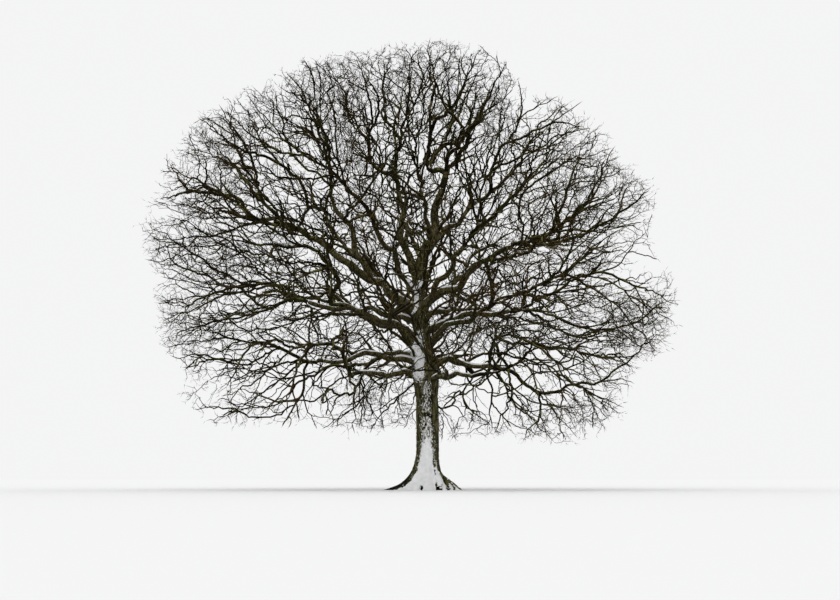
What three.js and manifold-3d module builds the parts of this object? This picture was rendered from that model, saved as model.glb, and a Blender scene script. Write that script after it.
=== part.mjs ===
// A bare, open-grown oak in winter at its real size, in millimetres, with +Z up.
// The origin lies on the ground in the middle of the trunk's foot. +X is to the right and +Y away
// from the viewer. Azimuths are in degrees: 0 is right, 90 away, 180 left and 270 towards the viewer.
import * as THREE from "three";
import { mergeVertices } from "three/addons/utils/BufferGeometryUtils.js";
import Module from "manifold-3d";

const wasm = await Module();
wasm.setup();

// Trunk: radius at each height, from under the root flare to the fork, how far it leans by then, and
// how far it bows to the right on the way.
const TRUNK_PROFILE = [
  { height: 0, radius: 500 },
  { height: 1500, radius: 480 },
  { height: 3900, radius: 485 },
  { height: 4750, radius: 550 },
  { height: 6200, radius: 405 },
  { height: 7600, radius: 350 },
  { height: 9100, radius: 290 },
];
const FORK_HEIGHT = 9100;
const TRUNK_LEAN = -330;
const TRUNK_BOW = 260;
const TRUNK_SIDES = 28;
const TRUNK_RINGS = [0, 80, 200, 380, 650, 1050, 1800, 2900, 3900, 4300, 4750, 5400, 6500, 7800, 9100];

// Root flare: ridges that run out of the trunk and down to the ground.
const ROOT_COUNT = 8;
const ROOT_REACH = 1250;
const ROOT_FADE_HEIGHT = 390;
const ROOT_HALF_WIDTH = 15;
const ROOT_WEB = 0.28;
const ROOT_SWAY = 14;
const ROOT_LENGTHS = { shortest: 0.86, range: 0.14 };
const ROOT_SEED = 11;

// Crown: its vertical axis stands a little to the left of the foot. Its outline is round above its
// middle, and below it is squarer, where the lowest boughs hang over.
const CROWN = { axisX: -800, middle: 10800, halfWidth: 11600, halfDepth: 11100, above: 8850, below: 9000 };
const ROUND_ABOVE = 2.05;
const SQUARE_BELOW = 3.6;
// Its lobes and notches: how far it reaches at every ten degrees round its middle, seen from the front
// and starting at the right, as a share of that smooth outline.
const LOBES = [
  0.92, 0.965, 0.91, 0.945, 0.93, 0.86, 0.95, 0.99, 1.01, 0.99, 0.935, 0.95,
  0.99, 0.95, 0.96, 0.99, 0.985, 0.98, 1.04, 0.945, 0.95, 0.92, 0.99, 0.96,
  0.91, 0.93, 0.94, 0.91, 0.97, 0.94, 0.98, 1.03, 1.01, 0.95, 1.05, 1.01,
];
// No twig hangs in front of the foot of the trunk: they part round this clear way to it.
const CLEAR_WAY = {
  points: [new THREE.Vector3(0, -1400, 3300), new THREE.Vector3(0, -11500, 2900)],
  radii: [1300, 1300],
};

// Main boughs. Each leaves the trunk at a height, or another bough at a share of its length, with a
// rise above the horizontal, and ends where it enters its mass of twigs. The mass keeps to a round
// space: how far its middle is turned from +X, how far out it is from the crown's axis and how far up.
const BOUGHS = {
  low_left: { at: 5300, rise: 30, radius: 150, turn: 180, out: 7600, up: 5700 },
  low_back_left: { at: 5700, rise: 34, radius: 135, turn: 133, out: 7300, up: 5600 },
  low_back: { at: 5000, rise: 34, radius: 140, turn: 88, out: 7300, up: 5400 },
  low_back_right: { at: 5500, rise: 34, radius: 135, turn: 44, out: 7300, up: 5500 },
  low_right: { at: 5200, rise: 36, radius: 160, turn: 0, out: 7500, up: 5600 },
  low_front_right: { at: 4400, rise: 38, radius: 140, turn: 317, out: 7300, up: 5400 },
  low_front: { from: "low_front_right", at: 0.42, rise: 20, radius: 80, turn: 276, out: 6700, up: 5100 },
  low_front_left: { at: 4400, rise: 36, radius: 150, turn: 229, out: 7100, up: 5300 },
  mid_left: { at: 6600, rise: 30, radius: 165, turn: 180, out: 8400, up: 9500 },
  mid_back_left: { at: 7200, rise: 32, radius: 145, turn: 139, out: 8000, up: 9400 },
  mid_back: { at: 6650, rise: 34, radius: 145, turn: 96, out: 7900, up: 9200 },
  mid_back_right: { at: 7300, rise: 32, radius: 140, turn: 51, out: 7900, up: 9300 },
  mid_right: { at: 6850, rise: 28, radius: 165, turn: 3, out: 8500, up: 8900 },
  mid_front_right: { at: 6100, rise: 36, radius: 150, turn: 318, out: 7900, up: 9100 },
  mid_front: { from: "mid_front_left", at: 0.4, rise: 30, radius: 90, turn: 271, out: 7600, up: 9300 },
  mid_front_left: { at: 5850, rise: 50, radius: 155, turn: 224, out: 7900, up: 9200 },
  upper_left: { at: 7600, rise: 38, radius: 225, turn: 184, out: 7500, up: 13500 },
  upper_back_left: { from: "upper_left", at: 0.3, rise: 44, radius: 130, turn: 134, out: 7000, up: 13400 },
  upper_back: { at: 8150, rise: 42, radius: 150, turn: 86, out: 6900, up: 13300 },
  upper_right: { at: 7950, rise: 30, radius: 195, turn: 0, out: 7100, up: 12700 },
  upper_back_right: { from: "upper_right", at: 0.28, rise: 40, radius: 125, turn: 42, out: 6900, up: 13300 },
  upper_front_right: { at: 7650, rise: 44, radius: 150, turn: 310, out: 6900, up: 13200 },
  upper_front_left: { at: 8300, rise: 46, radius: 150, turn: 243, out: 6700, up: 13400 },
  high_left: { from: "upper_left", at: 0.42, rise: 72, radius: 150, turn: 178, out: 4700, up: 16200 },
  high_right: { from: "top_right", at: 0.22, rise: 50, radius: 145, turn: 358, out: 5700, up: 15300 },
  high_back: { from: "top_left", at: 0.3, rise: 60, radius: 110, turn: 92, out: 4100, up: 16100 },
  high_front: { from: "top_right", at: 0.36, rise: 62, radius: 110, turn: 272, out: 4100, up: 16000 },
  top_left: { at: 8950, rise: 66, radius: 185, turn: 180, out: 1300, up: 17000 },
  top_right: { at: 9000, rise: 74, radius: 250, turn: 0, out: 2400, up: 17100 },
};
const SPREAD = { low: 4900, mid: 5200, upper: 5100, high: 4700, top: 4800 };
const BOUGH_SIDES = 6;
const BOUGH_STEPS = 7;
const BOUGH_TIP_SHARE = 0.6;
const BOUGH_WANDER = 0.035;
const BOUGH_WAVES = { fewest: 1.2, range: 0.8 };
const LEAVE_SHARE = 0.5;
const ARRIVE_SHARE = 0.3;
const ENTRY_SHARE = 0.8;

// Twigs: they run from their stem through points scattered evenly in their mass's space. Each point
// joins where its way back to the stem is short and turns little, it leads away from a place under the
// fork, and few others join.
const POINTS_PER_MASS = 30;
const TWIG_SIDES = 3;
const STEM_LENGTH = 700;
const SCATTER_TRIES = 12;
const OUTWARD = 0.4;
const FURTHEST_BACK = -0.1;
const WAY_BACK_COST = 0.5;
const TURN_COST = 1.5;
const STRAY_COST = 1.5;
const GROWTH_CENTRE = new THREE.Vector3(-200, 0, 8000);
const CROWD_COST = 350;
const LONGEST_TWIG = 4200;
const TIP_RADIUS = 12;
const LAST_REACH = 600;
const LAST_REACH_STEP = 50;
const PIPE_POWER = 2.4;
const MASS_MARGIN = 110;
const LIMB_CLEARANCE = 130;
const EASING = 0.35;
const GAP = 0.3;
const MASS_SEED_STEP = 977;
const MERGE_DISTANCE = 1e-4;
const TINY = 1e-6;
const NEARLY_UPRIGHT = 0.9;

const BARK = new THREE.MeshStandardMaterial({ color: 0x3a3526, roughness: 0.95, metalness: 0 });
const BOUGH_BARK = new THREE.MeshStandardMaterial({ color: 0x332e21, roughness: 0.95, metalness: 0 });
const TWIG_BARK = new THREE.MeshStandardMaterial({ color: 0x3b3228, roughness: 0.9, metalness: 0 });

// Random numbers from 0 to 1 that are the same for the same seed.
function seeded(seed) {
  let state = seed >>> 0;
  return () => {
    state = (Math.imul(state, 1664525) + 1013904223) >>> 0;
    return state / 4294967296;
  };
}

function turn(degrees) {
  const angle = THREE.MathUtils.degToRad(degrees);
  return new THREE.Vector3(Math.cos(angle), Math.sin(angle), 0);
}

function closedSolid(geometry) {
  const bare = geometry.clone();
  bare.deleteAttribute("normal");
  bare.deleteAttribute("uv");
  const merged = mergeVertices(bare, MERGE_DISTANCE);
  const mesh = new wasm.Mesh({
    numProp: 3,
    vertProperties: new Float32Array(merged.attributes.position.array),
    triVerts: new Uint32Array(merged.index.array),
  });
  return new wasm.Manifold(mesh);
}

function geometryOf(solid) {
  const mesh = solid.getMesh();
  const geometry = new THREE.BufferGeometry();
  geometry.setAttribute("position", new THREE.BufferAttribute(mesh.vertProperties, 3));
  geometry.setIndex(new THREE.BufferAttribute(mesh.triVerts, 1));
  return geometry;
}

function largestPiece(solid) {
  return solid.decompose().reduce((best, piece) => (piece.volume() > best.volume() ? piece : best));
}

// Side and up directions at each point of a path, turned as little as possible from one to the next.
function sectionFrames(points) {
  const frames = [];
  let side = null;
  points.forEach((point, i) => {
    const before = points[Math.max(i - 1, 0)];
    const after = points[Math.min(i + 1, points.length - 1)];
    const along = after.clone().sub(before).normalize();
    const upright = Math.abs(along.z) > NEARLY_UPRIGHT;
    side ??= upright ? new THREE.Vector3(1, 0, 0) : new THREE.Vector3(0, 0, 1);
    side = side.clone().addScaledVector(along, -side.dot(along)).normalize();
    frames.push({ side, up: side.clone().cross(along) });
  });
  return frames;
}

// A closed limb with one ring at each point of its path. It ends in a point where the last radius is 0.
function limb(points, radii, sides) {
  const steps = points.length - 1;
  const pointed = radii[steps] === 0;
  const shape = pointed
    ? new THREE.ConeGeometry(1, 1, sides, steps)
    : new THREE.CylinderGeometry(1, 1, 1, sides, steps);
  const frames = sectionFrames(points);
  const position = shape.attributes.position;
  const spot = new THREE.Vector3();
  for (let i = 0; i < position.count; i++) {
    spot.fromBufferAttribute(position, i);
    const ring = Math.round((spot.y + 0.5) * steps);
    const rim = Math.hypot(spot.x, spot.z);
    const placed = points[ring].clone();
    if (rim > TINY) {
      placed.addScaledVector(frames[ring].side, (spot.x / rim) * radii[ring]);
      placed.addScaledVector(frames[ring].up, (spot.z / rim) * radii[ring]);
    }
    position.setXYZ(i, placed.x, placed.y, placed.z);
  }
  return closedSolid(shape);
}

function trunkRadius(height) {
  const above = TRUNK_PROFILE.findIndex((row) => row.height > height);
  if (above < 0) return TRUNK_PROFILE[TRUNK_PROFILE.length - 1].radius;
  const [low, high] = [TRUNK_PROFILE[above - 1], TRUNK_PROFILE[above]];
  const share = THREE.MathUtils.smoothstep(height, low.height, high.height);
  return THREE.MathUtils.lerp(low.radius, high.radius, share);
}

function trunkAxis(height) {
  const share = height / FORK_HEIGHT;
  const bow = TRUNK_BOW * Math.sin(Math.PI * share) * (1 - share);
  return new THREE.Vector3(TRUNK_LEAN * share * share + bow, 0, height);
}

// How far the root ridges stand out of the trunk in one direction at ground level.
function rootReach(azimuth) {
  const random = seeded(ROOT_SEED);
  let reach = ROOT_WEB * ROOT_REACH;
  for (let i = 0; i < ROOT_COUNT; i++) {
    const middle = 180 + (360 * i) / ROOT_COUNT + (random() - 0.5) * ROOT_SWAY;
    const share = ROOT_LENGTHS.shortest + ROOT_LENGTHS.range * random();
    const length = ROOT_REACH * (i === 0 ? 1 : share);
    const off = THREE.MathUtils.euclideanModulo(azimuth - middle + 180, 360) - 180;
    reach += (1 - ROOT_WEB) * length * Math.exp(-((off / ROOT_HALF_WIDTH) ** 2));
  }
  return reach;
}

// The trunk with its root flare, grown outwards by a skin where it is used to cut a bough.
function trunkSolid(skin) {
  const steps = TRUNK_RINGS.length - 1;
  const shape = new THREE.CylinderGeometry(1, 1, 1, TRUNK_SIDES, steps);
  const position = shape.attributes.position;
  for (let i = 0; i < position.count; i++) {
    const height = TRUNK_RINGS[Math.round((position.getY(i) + 0.5) * steps)];
    const [x, y] = [position.getX(i), -position.getZ(i)];
    const rim = Math.hypot(x, y);
    const azimuth = THREE.MathUtils.radToDeg(Math.atan2(y, x));
    const flare = rootReach(azimuth) * Math.exp(-height / ROOT_FADE_HEIGHT);
    const radius = rim > TINY ? (trunkRadius(height) + flare + skin) / rim : 0;
    const axis = trunkAxis(height);
    const end = height === FORK_HEIGHT ? skin : 0;
    position.setXYZ(i, axis.x + x * radius, axis.y + y * radius, axis.z + end);
  }
  return closedSolid(shape);
}

function insideCrown(point) {
  const [sideways, up] = [point.x - CROWN.axisX, point.z - CROWN.middle];
  const [half, squareness] = up > 0 ? [CROWN.above, ROUND_ABOVE] : [CROWN.below, SQUARE_BELOW];
  const across = Math.hypot(sideways / CROWN.halfWidth, point.y / CROWN.halfDepth);
  const depth = (across ** squareness + (Math.abs(up) / half) ** squareness) ** (1 / squareness);
  const round = THREE.MathUtils.euclideanModulo(Math.atan2(up, sideways) / (2 * Math.PI), 1) * LOBES.length;
  const [low, share] = [Math.floor(round) % LOBES.length, round % 1];
  return depth <= THREE.MathUtils.lerp(LOBES[low], LOBES[(low + 1) % LOBES.length], share);
}

// A mass's space: a ball, cut by the crown's outline and by the planes between it and the other masses.
function spaceOf([name, row]) {
  const middle = turn(row.turn).multiplyScalar(row.out);
  middle.add(new THREE.Vector3(CROWN.axisX, 0, row.up));
  return { middle, spread: SPREAD[name.split("_")[0]] };
}

function power(space, point) {
  return space.middle.distanceToSquared(point) - space.spread * space.spread;
}

function keepsToSpace(space, spaces, point, margin) {
  const own = power(space, point);
  return spaces.every((other) => {
    if (other === space) return true;
    const apart = 2 * space.middle.distanceTo(other.middle);
    return (power(other, point) - own) / apart > margin;
  });
}

// The path of a bough from its parent's axis to the edge of its mass, with an oak's crooked bends.
function boughPath(row, space, start, random) {
  const reach = space.middle.clone().sub(start).normalize();
  const end = space.middle.clone().addScaledVector(reach, -ENTRY_SHARE * space.spread);
  const length = start.distanceTo(end);
  const level = new THREE.Vector3(reach.x, reach.y, 0).normalize();
  const rise = THREE.MathUtils.degToRad(row.rise);
  const leave = level.clone().multiplyScalar(Math.cos(rise)).add(new THREE.Vector3(0, 0, Math.sin(rise)));
  const curve = new THREE.CubicBezierCurve3(
    start,
    start.clone().addScaledVector(leave, LEAVE_SHARE * length),
    end.clone().addScaledVector(reach, -ARRIVE_SHARE * length),
    end,
  );
  const points = curve.getPoints(BOUGH_STEPS);
  const side = new THREE.Vector3(0, 0, 1).cross(level);
  const up = side.clone().cross(reach).negate();
  const [sideways, upwards] = [random() * 2 * Math.PI, random() * 2 * Math.PI];
  const waves = BOUGH_WAVES.fewest + BOUGH_WAVES.range * random();
  points.forEach((point, i) => {
    const share = i / BOUGH_STEPS;
    const sway = BOUGH_WANDER * length * Math.sin(Math.PI * share);
    point.addScaledVector(side, sway * Math.sin(2 * Math.PI * waves * share + sideways));
    point.addScaledVector(up, sway * Math.sin(2 * Math.PI * waves * share + upwards));
  });
  return points;
}

function pointAt(points, share) {
  const place = share * (points.length - 1);
  const i = Math.min(Math.floor(place), points.length - 2);
  return points[i].clone().lerp(points[i + 1], place - i);
}

// Shortest distance between two straight stretches.
function stretchDistance(a, b, c, d) {
  const [ab, cd, ca] = [b.clone().sub(a), d.clone().sub(c), a.clone().sub(c)];
  const [aa, cc, ac] = [ab.lengthSq(), cd.lengthSq(), ab.dot(cd)];
  const [ae, ce] = [ab.dot(ca), cd.dot(ca)];
  const clamp = (x) => Math.min(Math.max(x, 0), 1);
  const flat = aa * cc - ac * ac;
  let s = flat > TINY ? clamp((ac * ce - ae * cc) / flat) : 0;
  const t = clamp((ac * s + ce) / cc);
  s = clamp((ac * t - ae) / aa);
  return a.clone().addScaledVector(ab, s).distanceTo(c.clone().addScaledVector(cd, t));
}

function clearOfLimbs(from, to, limbs, margin) {
  return limbs.every((other) =>
    other.points.slice(1).every((end, i) => {
      const gap = stretchDistance(from, to, other.points[i], end);
      return gap > Math.max(other.radii[i], other.radii[i + 1]) + margin;
    }),
  );
}

// Points spread evenly through a mass's space, each the furthest from the others of a few tries.
// None lies behind the bough's tip, where the twigs begin.
function scatter(space, spaces, root, direction, random) {
  const found = [];
  while (found.length < POINTS_PER_MASS) {
    let best = null;
    let bestGap = -1;
    for (let k = 0; k < SCATTER_TRIES; k++) {
      const height = 2 * random() - 1;
      const way = turn(360 * random()).multiplyScalar(Math.sqrt(1 - height * height));
      way.z = height;
      const point = space.middle.clone().addScaledVector(way, space.spread * random() ** OUTWARD);
      const off = point.clone().sub(root);
      if (off.dot(direction) < off.length() * FURTHEST_BACK) continue;
      if (!insideCrown(point) || !keepsToSpace(space, spaces, point, MASS_MARGIN)) continue;
      const gap = Math.min(...found.map((other) => other.distanceTo(point)), 2 * space.spread);
      if (gap > bestGap) [best, bestGap] = [point, gap];
    }
    if (best) found.push(best);
  }
  return found;
}

// Grows twigs from a stem through the points, the nearest to the stem first. A twig that would
// touch a limb is left out.
function growTwigs(root, direction, points, limbs) {
  const stemEnd = root.clone().addScaledVector(direction, STEM_LENGTH);
  const nodes = [
    { at: root, parent: -1, along: direction, wayBack: 0, joined: 1 },
    { at: stemEnd, parent: 0, along: direction, wayBack: 0, joined: 0 },
  ];
  const ordered = [...points].sort((a, b) => a.distanceTo(root) - b.distanceTo(root));
  for (const point of ordered) {
    const onward = point.clone().sub(GROWTH_CENTRE).normalize();
    let best = null;
    nodes.forEach((node, parent) => {
      const along = point.clone().sub(node.at);
      const length = along.length();
      if (parent === 0 || length > LONGEST_TWIG) return;
      along.divideScalar(length);
      const turning = TURN_COST * (1 - along.dot(node.along));
      const straying = STRAY_COST * (1 - along.dot(onward));
      const crowding = CROWD_COST * node.joined ** 2;
      const cost = length * (1 + turning + straying) + WAY_BACK_COST * node.wayBack + crowding;
      if (best && cost >= best.cost) return;
      if (!clearOfLimbs(node.at, point, limbs, LIMB_CLEARANCE)) return;
      best = { parent, along, cost, wayBack: node.wayBack + length };
    });
    if (!best) continue;
    nodes[best.parent].joined += 1;
    nodes.push({ at: point, parent: best.parent, along: best.along, wayBack: best.wayBack, joined: 0 });
  }
  return nodes;
}

// Moves the forks towards the middle of their neighbours, so that the twigs bend less at each.
function easeTwigs(nodes, limbs) {
  for (let i = nodes.length - 1; i > 1; i--) {
    const children = nodes.filter((node) => node.parent === i);
    if (!children.length) continue;
    const parent = nodes[nodes[i].parent].at;
    const middle = parent.clone().add(children[0].at).multiplyScalar(0.5);
    const moved = nodes[i].at.clone().lerp(middle, EASING);
    const ends = [parent, ...children.map((child) => child.at)];
    if (ends.every((end) => clearOfLimbs(moved, end, limbs, LIMB_CLEARANCE))) nodes[i].at = moved;
  }
}

// Carries each tip on towards the crown's outline, while it keeps to its space and clear of limbs.
function reachOut(nodes, space, spaces, limbs) {
  const isParent = new Set(nodes.map((node) => node.parent));
  nodes.forEach((node, i) => {
    if (isParent.has(i)) return;
    for (let gone = 0; gone < LAST_REACH; gone += LAST_REACH_STEP) {
      const next = node.at.clone().addScaledVector(node.along, LAST_REACH_STEP);
      if (!insideCrown(next) || !keepsToSpace(space, spaces, next, MASS_MARGIN)) return;
      if (!clearOfLimbs(node.at, next, limbs, LIMB_CLEARANCE)) return;
      node.at = next;
    }
  });
}

// How many tips each node of a twig tree carries.
function countTips(nodes) {
  const tips = nodes.map(() => 0);
  const isParent = new Set(nodes.map((node) => node.parent));
  for (let i = nodes.length - 1; i >= 0; i--) {
    if (!isParent.has(i)) tips[i] = 1;
    if (nodes[i].parent >= 0) tips[nodes[i].parent] += tips[i];
  }
  return tips;
}

// The solid of a twig tree: one limb for each run from a fork to its tip, fused at the forks.
function twigSolid(nodes, stemRadius) {
  const tips = countTips(nodes);
  const children = nodes.map(() => []);
  nodes.forEach((node, i) => node.parent >= 0 && children[node.parent].push(i));
  const total = tips[0];
  const radius = (i) => Math.max(stemRadius * (tips[i] / total) ** (1 / PIPE_POWER), TIP_RADIUS);
  const solids = [];
  const follow = (from, next) => {
    const run = from < 0 ? [next] : [from, next];
    for (let i = next; children[i].length; i = run[run.length - 1]) {
      const order = [...children[i]].sort((a, b) => tips[b] - tips[a]);
      order.slice(1).forEach((side) => follow(i, side));
      run.push(order[0]);
    }
    const radii = run.map((i, k) => (k === run.length - 1 ? 0 : radius(k === 0 && from >= 0 ? run[1] : i)));
    solids.push(limb(run.map((i) => nodes[i].at), radii, TWIG_SIDES));
  };
  follow(-1, 0);
  return largestPiece(solids.reduce((all, solid) => all.add(solid)));
}

function buildOak() {
  const oak = new THREE.Group();
  const addNode = (name, solid, material) => {
    const mesh = new THREE.Mesh(geometryOf(solid), material);
    mesh.name = name;
    oak.add(mesh);
  };
  addNode("trunk", trunkSolid(0), BARK);
  const rows = Object.entries(BOUGHS);
  const spaces = rows.map(spaceOf);
  const limbs = new Map();
  const skins = new Map([["trunk", trunkSolid(GAP)]]);
  const waiting = rows.map(([name, row], i) => ({ name, row, space: spaces[i], seed: i + 1 }));
  while (waiting.length) {
    const { name, row, space, seed } = waiting.shift();
    const from = row.from ?? "trunk";
    if (!skins.has(from)) {
      waiting.push({ name, row, space, seed });
      continue;
    }
    const start = from === "trunk" ? trunkAxis(row.at) : pointAt(limbs.get(from).points, row.at);
    const points = boughPath(row, space, start, seeded(seed));
    const radii = points.map((_, i) => row.radius * (1 - ((1 - BOUGH_TIP_SHARE) * i) / BOUGH_STEPS));
    const whole = limb(points, radii, BOUGH_SIDES);
    const solid = largestPiece([...skins.values()].reduce((rest, skin) => rest.subtract(skin), whole));
    skins.set(name, limb(points, radii.map((radius) => radius + GAP), BOUGH_SIDES));
    limbs.set(name, { points, radii, space, seed });
    addNode(name + "_bough", solid, BOUGH_BARK);
  }
  const kept = [...limbs.values(), CLEAR_WAY];
  for (const [name, { points, radii, space, seed }] of limbs) {
    const [before, tip] = points.slice(-2);
    const direction = tip.clone().sub(before).normalize();
    const root = tip.clone().addScaledVector(direction, GAP);
    const goals = scatter(space, spaces, root, direction, seeded(seed * MASS_SEED_STEP));
    const nodes = growTwigs(root, direction, goals, kept);
    easeTwigs(nodes, kept);
    reachOut(nodes, space, spaces, kept);
    addNode(name + "_twigs", twigSolid(nodes, radii[BOUGH_STEPS]), TWIG_BARK);
  }
  return oak;
}

export default buildOak();
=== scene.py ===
"""A bare, open-grown oak in winter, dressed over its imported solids.

Lengths are in metres, +Z is up, and the origin lies on the ground in the middle of the trunk's foot.
+X is to the right and +Y away from the viewer. Azimuths are in degrees: 0 is right, 90 away, 180 left
and 270 towards the viewer.
"""

import math

import bpy
import numpy as np
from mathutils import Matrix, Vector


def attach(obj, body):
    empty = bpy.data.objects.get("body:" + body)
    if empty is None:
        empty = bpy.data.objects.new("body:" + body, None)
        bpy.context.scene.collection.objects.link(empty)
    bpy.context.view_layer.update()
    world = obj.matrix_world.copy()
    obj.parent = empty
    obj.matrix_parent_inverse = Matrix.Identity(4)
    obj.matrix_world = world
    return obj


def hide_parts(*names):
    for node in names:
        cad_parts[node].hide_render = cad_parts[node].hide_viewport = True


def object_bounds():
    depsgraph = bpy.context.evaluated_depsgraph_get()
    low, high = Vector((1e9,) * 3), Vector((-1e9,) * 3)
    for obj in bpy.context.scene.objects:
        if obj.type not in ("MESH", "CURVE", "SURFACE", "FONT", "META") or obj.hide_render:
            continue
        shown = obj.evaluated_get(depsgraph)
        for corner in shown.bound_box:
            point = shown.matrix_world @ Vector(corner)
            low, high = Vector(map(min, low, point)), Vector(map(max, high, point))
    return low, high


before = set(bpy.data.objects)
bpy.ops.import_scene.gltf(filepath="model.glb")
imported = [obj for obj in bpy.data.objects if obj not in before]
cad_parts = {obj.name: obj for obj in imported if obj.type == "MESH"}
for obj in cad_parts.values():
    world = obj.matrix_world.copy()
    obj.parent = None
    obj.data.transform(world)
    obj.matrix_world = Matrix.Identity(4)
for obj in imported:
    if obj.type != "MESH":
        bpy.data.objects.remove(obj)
cad_low, cad_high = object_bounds()

# Trunk: radius at each height, from under the root flare to the fork, how far it leans by then, and
# how far it bows to the right on the way.
FORK_HEIGHT = 9.1
TRUNK_PROFILE = [
    (0, 0.5), (1.5, 0.48), (3.9, 0.485), (4.75, 0.55), (6.2, 0.405), (7.6, 0.35), (FORK_HEIGHT, 0.29),
]
TRUNK_LEAN = -0.33
TRUNK_BOW = 0.26

# Root flare: ridges that run out of the trunk and down to the ground.
ROOT_COUNT = 8
ROOT_REACH = 1.25
ROOT_FADE_HEIGHT = 0.39
ROOT_HALF_WIDTH = 15
ROOT_WEB = 0.28
ROOT_SWAY = 14
ROOT_SHORTEST = 0.86
ROOT_LENGTH_RANGE = 0.14
ROOT_SEED = 11

# Crown: its axis, the height of its middle, and its half sizes.
CROWN = {"axis_x": -0.8, "middle": 10.8, "half_width": 11.6, "half_depth": 11.1, "above": 8.85, "below": 9.0}
ROUND_ABOVE = 2.05
SQUARE_BELOW = 3.6
# Its lobes and notches: how far it reaches at every ten degrees round its middle, seen from the front
# and starting at the right, as a share of that smooth outline.
LOBES = [
    0.92, 0.965, 0.91, 0.945, 0.93, 0.86, 0.95, 0.99, 1.01, 0.99, 0.935, 0.95,
    0.99, 0.95, 0.96, 0.99, 0.985, 0.98, 1.04, 0.945, 0.95, 0.92, 0.99, 0.96,
    0.91, 0.93, 0.94, 0.91, 0.97, 0.94, 0.98, 1.03, 1.01, 0.95, 1.05, 1.01,
]
# The way in front of the trunk's foot that is kept clear of twigs: both ends of its middle line.
CLEAR_WAY = ((0, -1.4, 3.3), (0, -11.5, 2.9))
CLEAR_WAY_RADIUS = 1.3

# Main boughs: parent, place on it (height on the trunk, or share of a bough), rise above the
# horizontal, radius, how far the middle of its mass is turned from +X, how far out it is and how far up.
BOUGHS = {
    "low_left": ("trunk", 5.3, 30, 0.150, 180, 7.6, 5.7),
    "low_back_left": ("trunk", 5.7, 34, 0.135, 133, 7.3, 5.6),
    "low_back": ("trunk", 5.0, 34, 0.140, 88, 7.3, 5.4),
    "low_back_right": ("trunk", 5.5, 34, 0.135, 44, 7.3, 5.5),
    "low_right": ("trunk", 5.2, 36, 0.160, 0, 7.5, 5.6),
    "low_front_right": ("trunk", 4.4, 38, 0.140, 317, 7.3, 5.4),
    "low_front": ("low_front_right", 0.42, 20, 0.080, 276, 6.7, 5.1),
    "low_front_left": ("trunk", 4.4, 36, 0.150, 229, 7.1, 5.3),
    "mid_left": ("trunk", 6.6, 30, 0.165, 180, 8.4, 9.5),
    "mid_back_left": ("trunk", 7.2, 32, 0.145, 139, 8.0, 9.4),
    "mid_back": ("trunk", 6.65, 34, 0.145, 96, 7.9, 9.2),
    "mid_back_right": ("trunk", 7.3, 32, 0.140, 51, 7.9, 9.3),
    "mid_right": ("trunk", 6.85, 28, 0.165, 3, 8.5, 8.9),
    "mid_front_right": ("trunk", 6.1, 36, 0.150, 318, 7.9, 9.1),
    "mid_front": ("mid_front_left", 0.4, 30, 0.090, 271, 7.6, 9.3),
    "mid_front_left": ("trunk", 5.85, 50, 0.155, 224, 7.9, 9.2),
    "upper_left": ("trunk", 7.6, 38, 0.225, 184, 7.5, 13.5),
    "upper_back_left": ("upper_left", 0.3, 44, 0.130, 134, 7.0, 13.4),
    "upper_back": ("trunk", 8.15, 42, 0.150, 86, 6.9, 13.3),
    "upper_right": ("trunk", 7.95, 30, 0.195, 0, 7.1, 12.7),
    "upper_back_right": ("upper_right", 0.28, 40, 0.125, 42, 6.9, 13.3),
    "upper_front_right": ("trunk", 7.65, 44, 0.150, 310, 6.9, 13.2),
    "upper_front_left": ("trunk", 8.3, 46, 0.150, 243, 6.7, 13.4),
    "high_left": ("upper_left", 0.42, 72, 0.150, 178, 4.7, 16.2),
    "high_right": ("top_right", 0.22, 50, 0.145, 358, 5.7, 15.3),
    "high_back": ("top_left", 0.3, 60, 0.110, 92, 4.1, 16.1),
    "high_front": ("top_right", 0.36, 62, 0.110, 272, 4.1, 16.0),
    "top_left": ("trunk", 8.95, 66, 0.185, 180, 1.3, 17.0),
    "top_right": ("trunk", 9.0, 74, 0.250, 0, 2.4, 17.1),
}
SPREAD = {"low": 4.9, "mid": 5.2, "upper": 5.1, "high": 4.7, "top": 4.8}
BOUGH_STEPS = 7
BOUGH_TIP_SHARE = 0.6
BOUGH_WANDER = 0.035
FEWEST_WAVES = 1.2
WAVE_RANGE = 0.8
LEAVE_SHARE = 0.5
ARRIVE_SHARE = 0.3
ENTRY_SHARE = 0.8

# Main twigs: how their points are spread, what the ways to them cost, and how clear they keep.
POINTS_PER_MASS = 30
STEM_LENGTH = 0.7
SCATTER_TRIES = 12
OUTWARD = 0.4
FURTHEST_BACK = -0.1
WAY_BACK_COST = 0.5
TURN_COST = 1.5
STRAY_COST = 1.5
GROWTH_CENTRE = np.array([-0.2, 0, 8.0])
CROWD_COST = 0.35
LONGEST_TWIG = 4.2
TIP_RADIUS = 0.012
LAST_REACH = 0.6
LAST_REACH_STEP = 0.05
ROUNDING = 1e-9
MASS_MARGIN = 0.11
LIMB_CLEARANCE = 0.13
EASING = 0.35
GAP = 0.0003
MASS_SEED_STEP = 977

# Camera: a long view from low down, tilted up so that the foot stands where the photo has it.
CAMERA_DISTANCE = 60.0
CAMERA_HEIGHT = 0.5
FARTHEST_SEEN = 2000
PHOTO_WIDTH = 840
PHOTO_HEIGHT = 600
FOOT_PIXEL = (425, 490)
PIXEL_SIZE = 0.04386
SENSOR_WIDTH = 36.0


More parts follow.
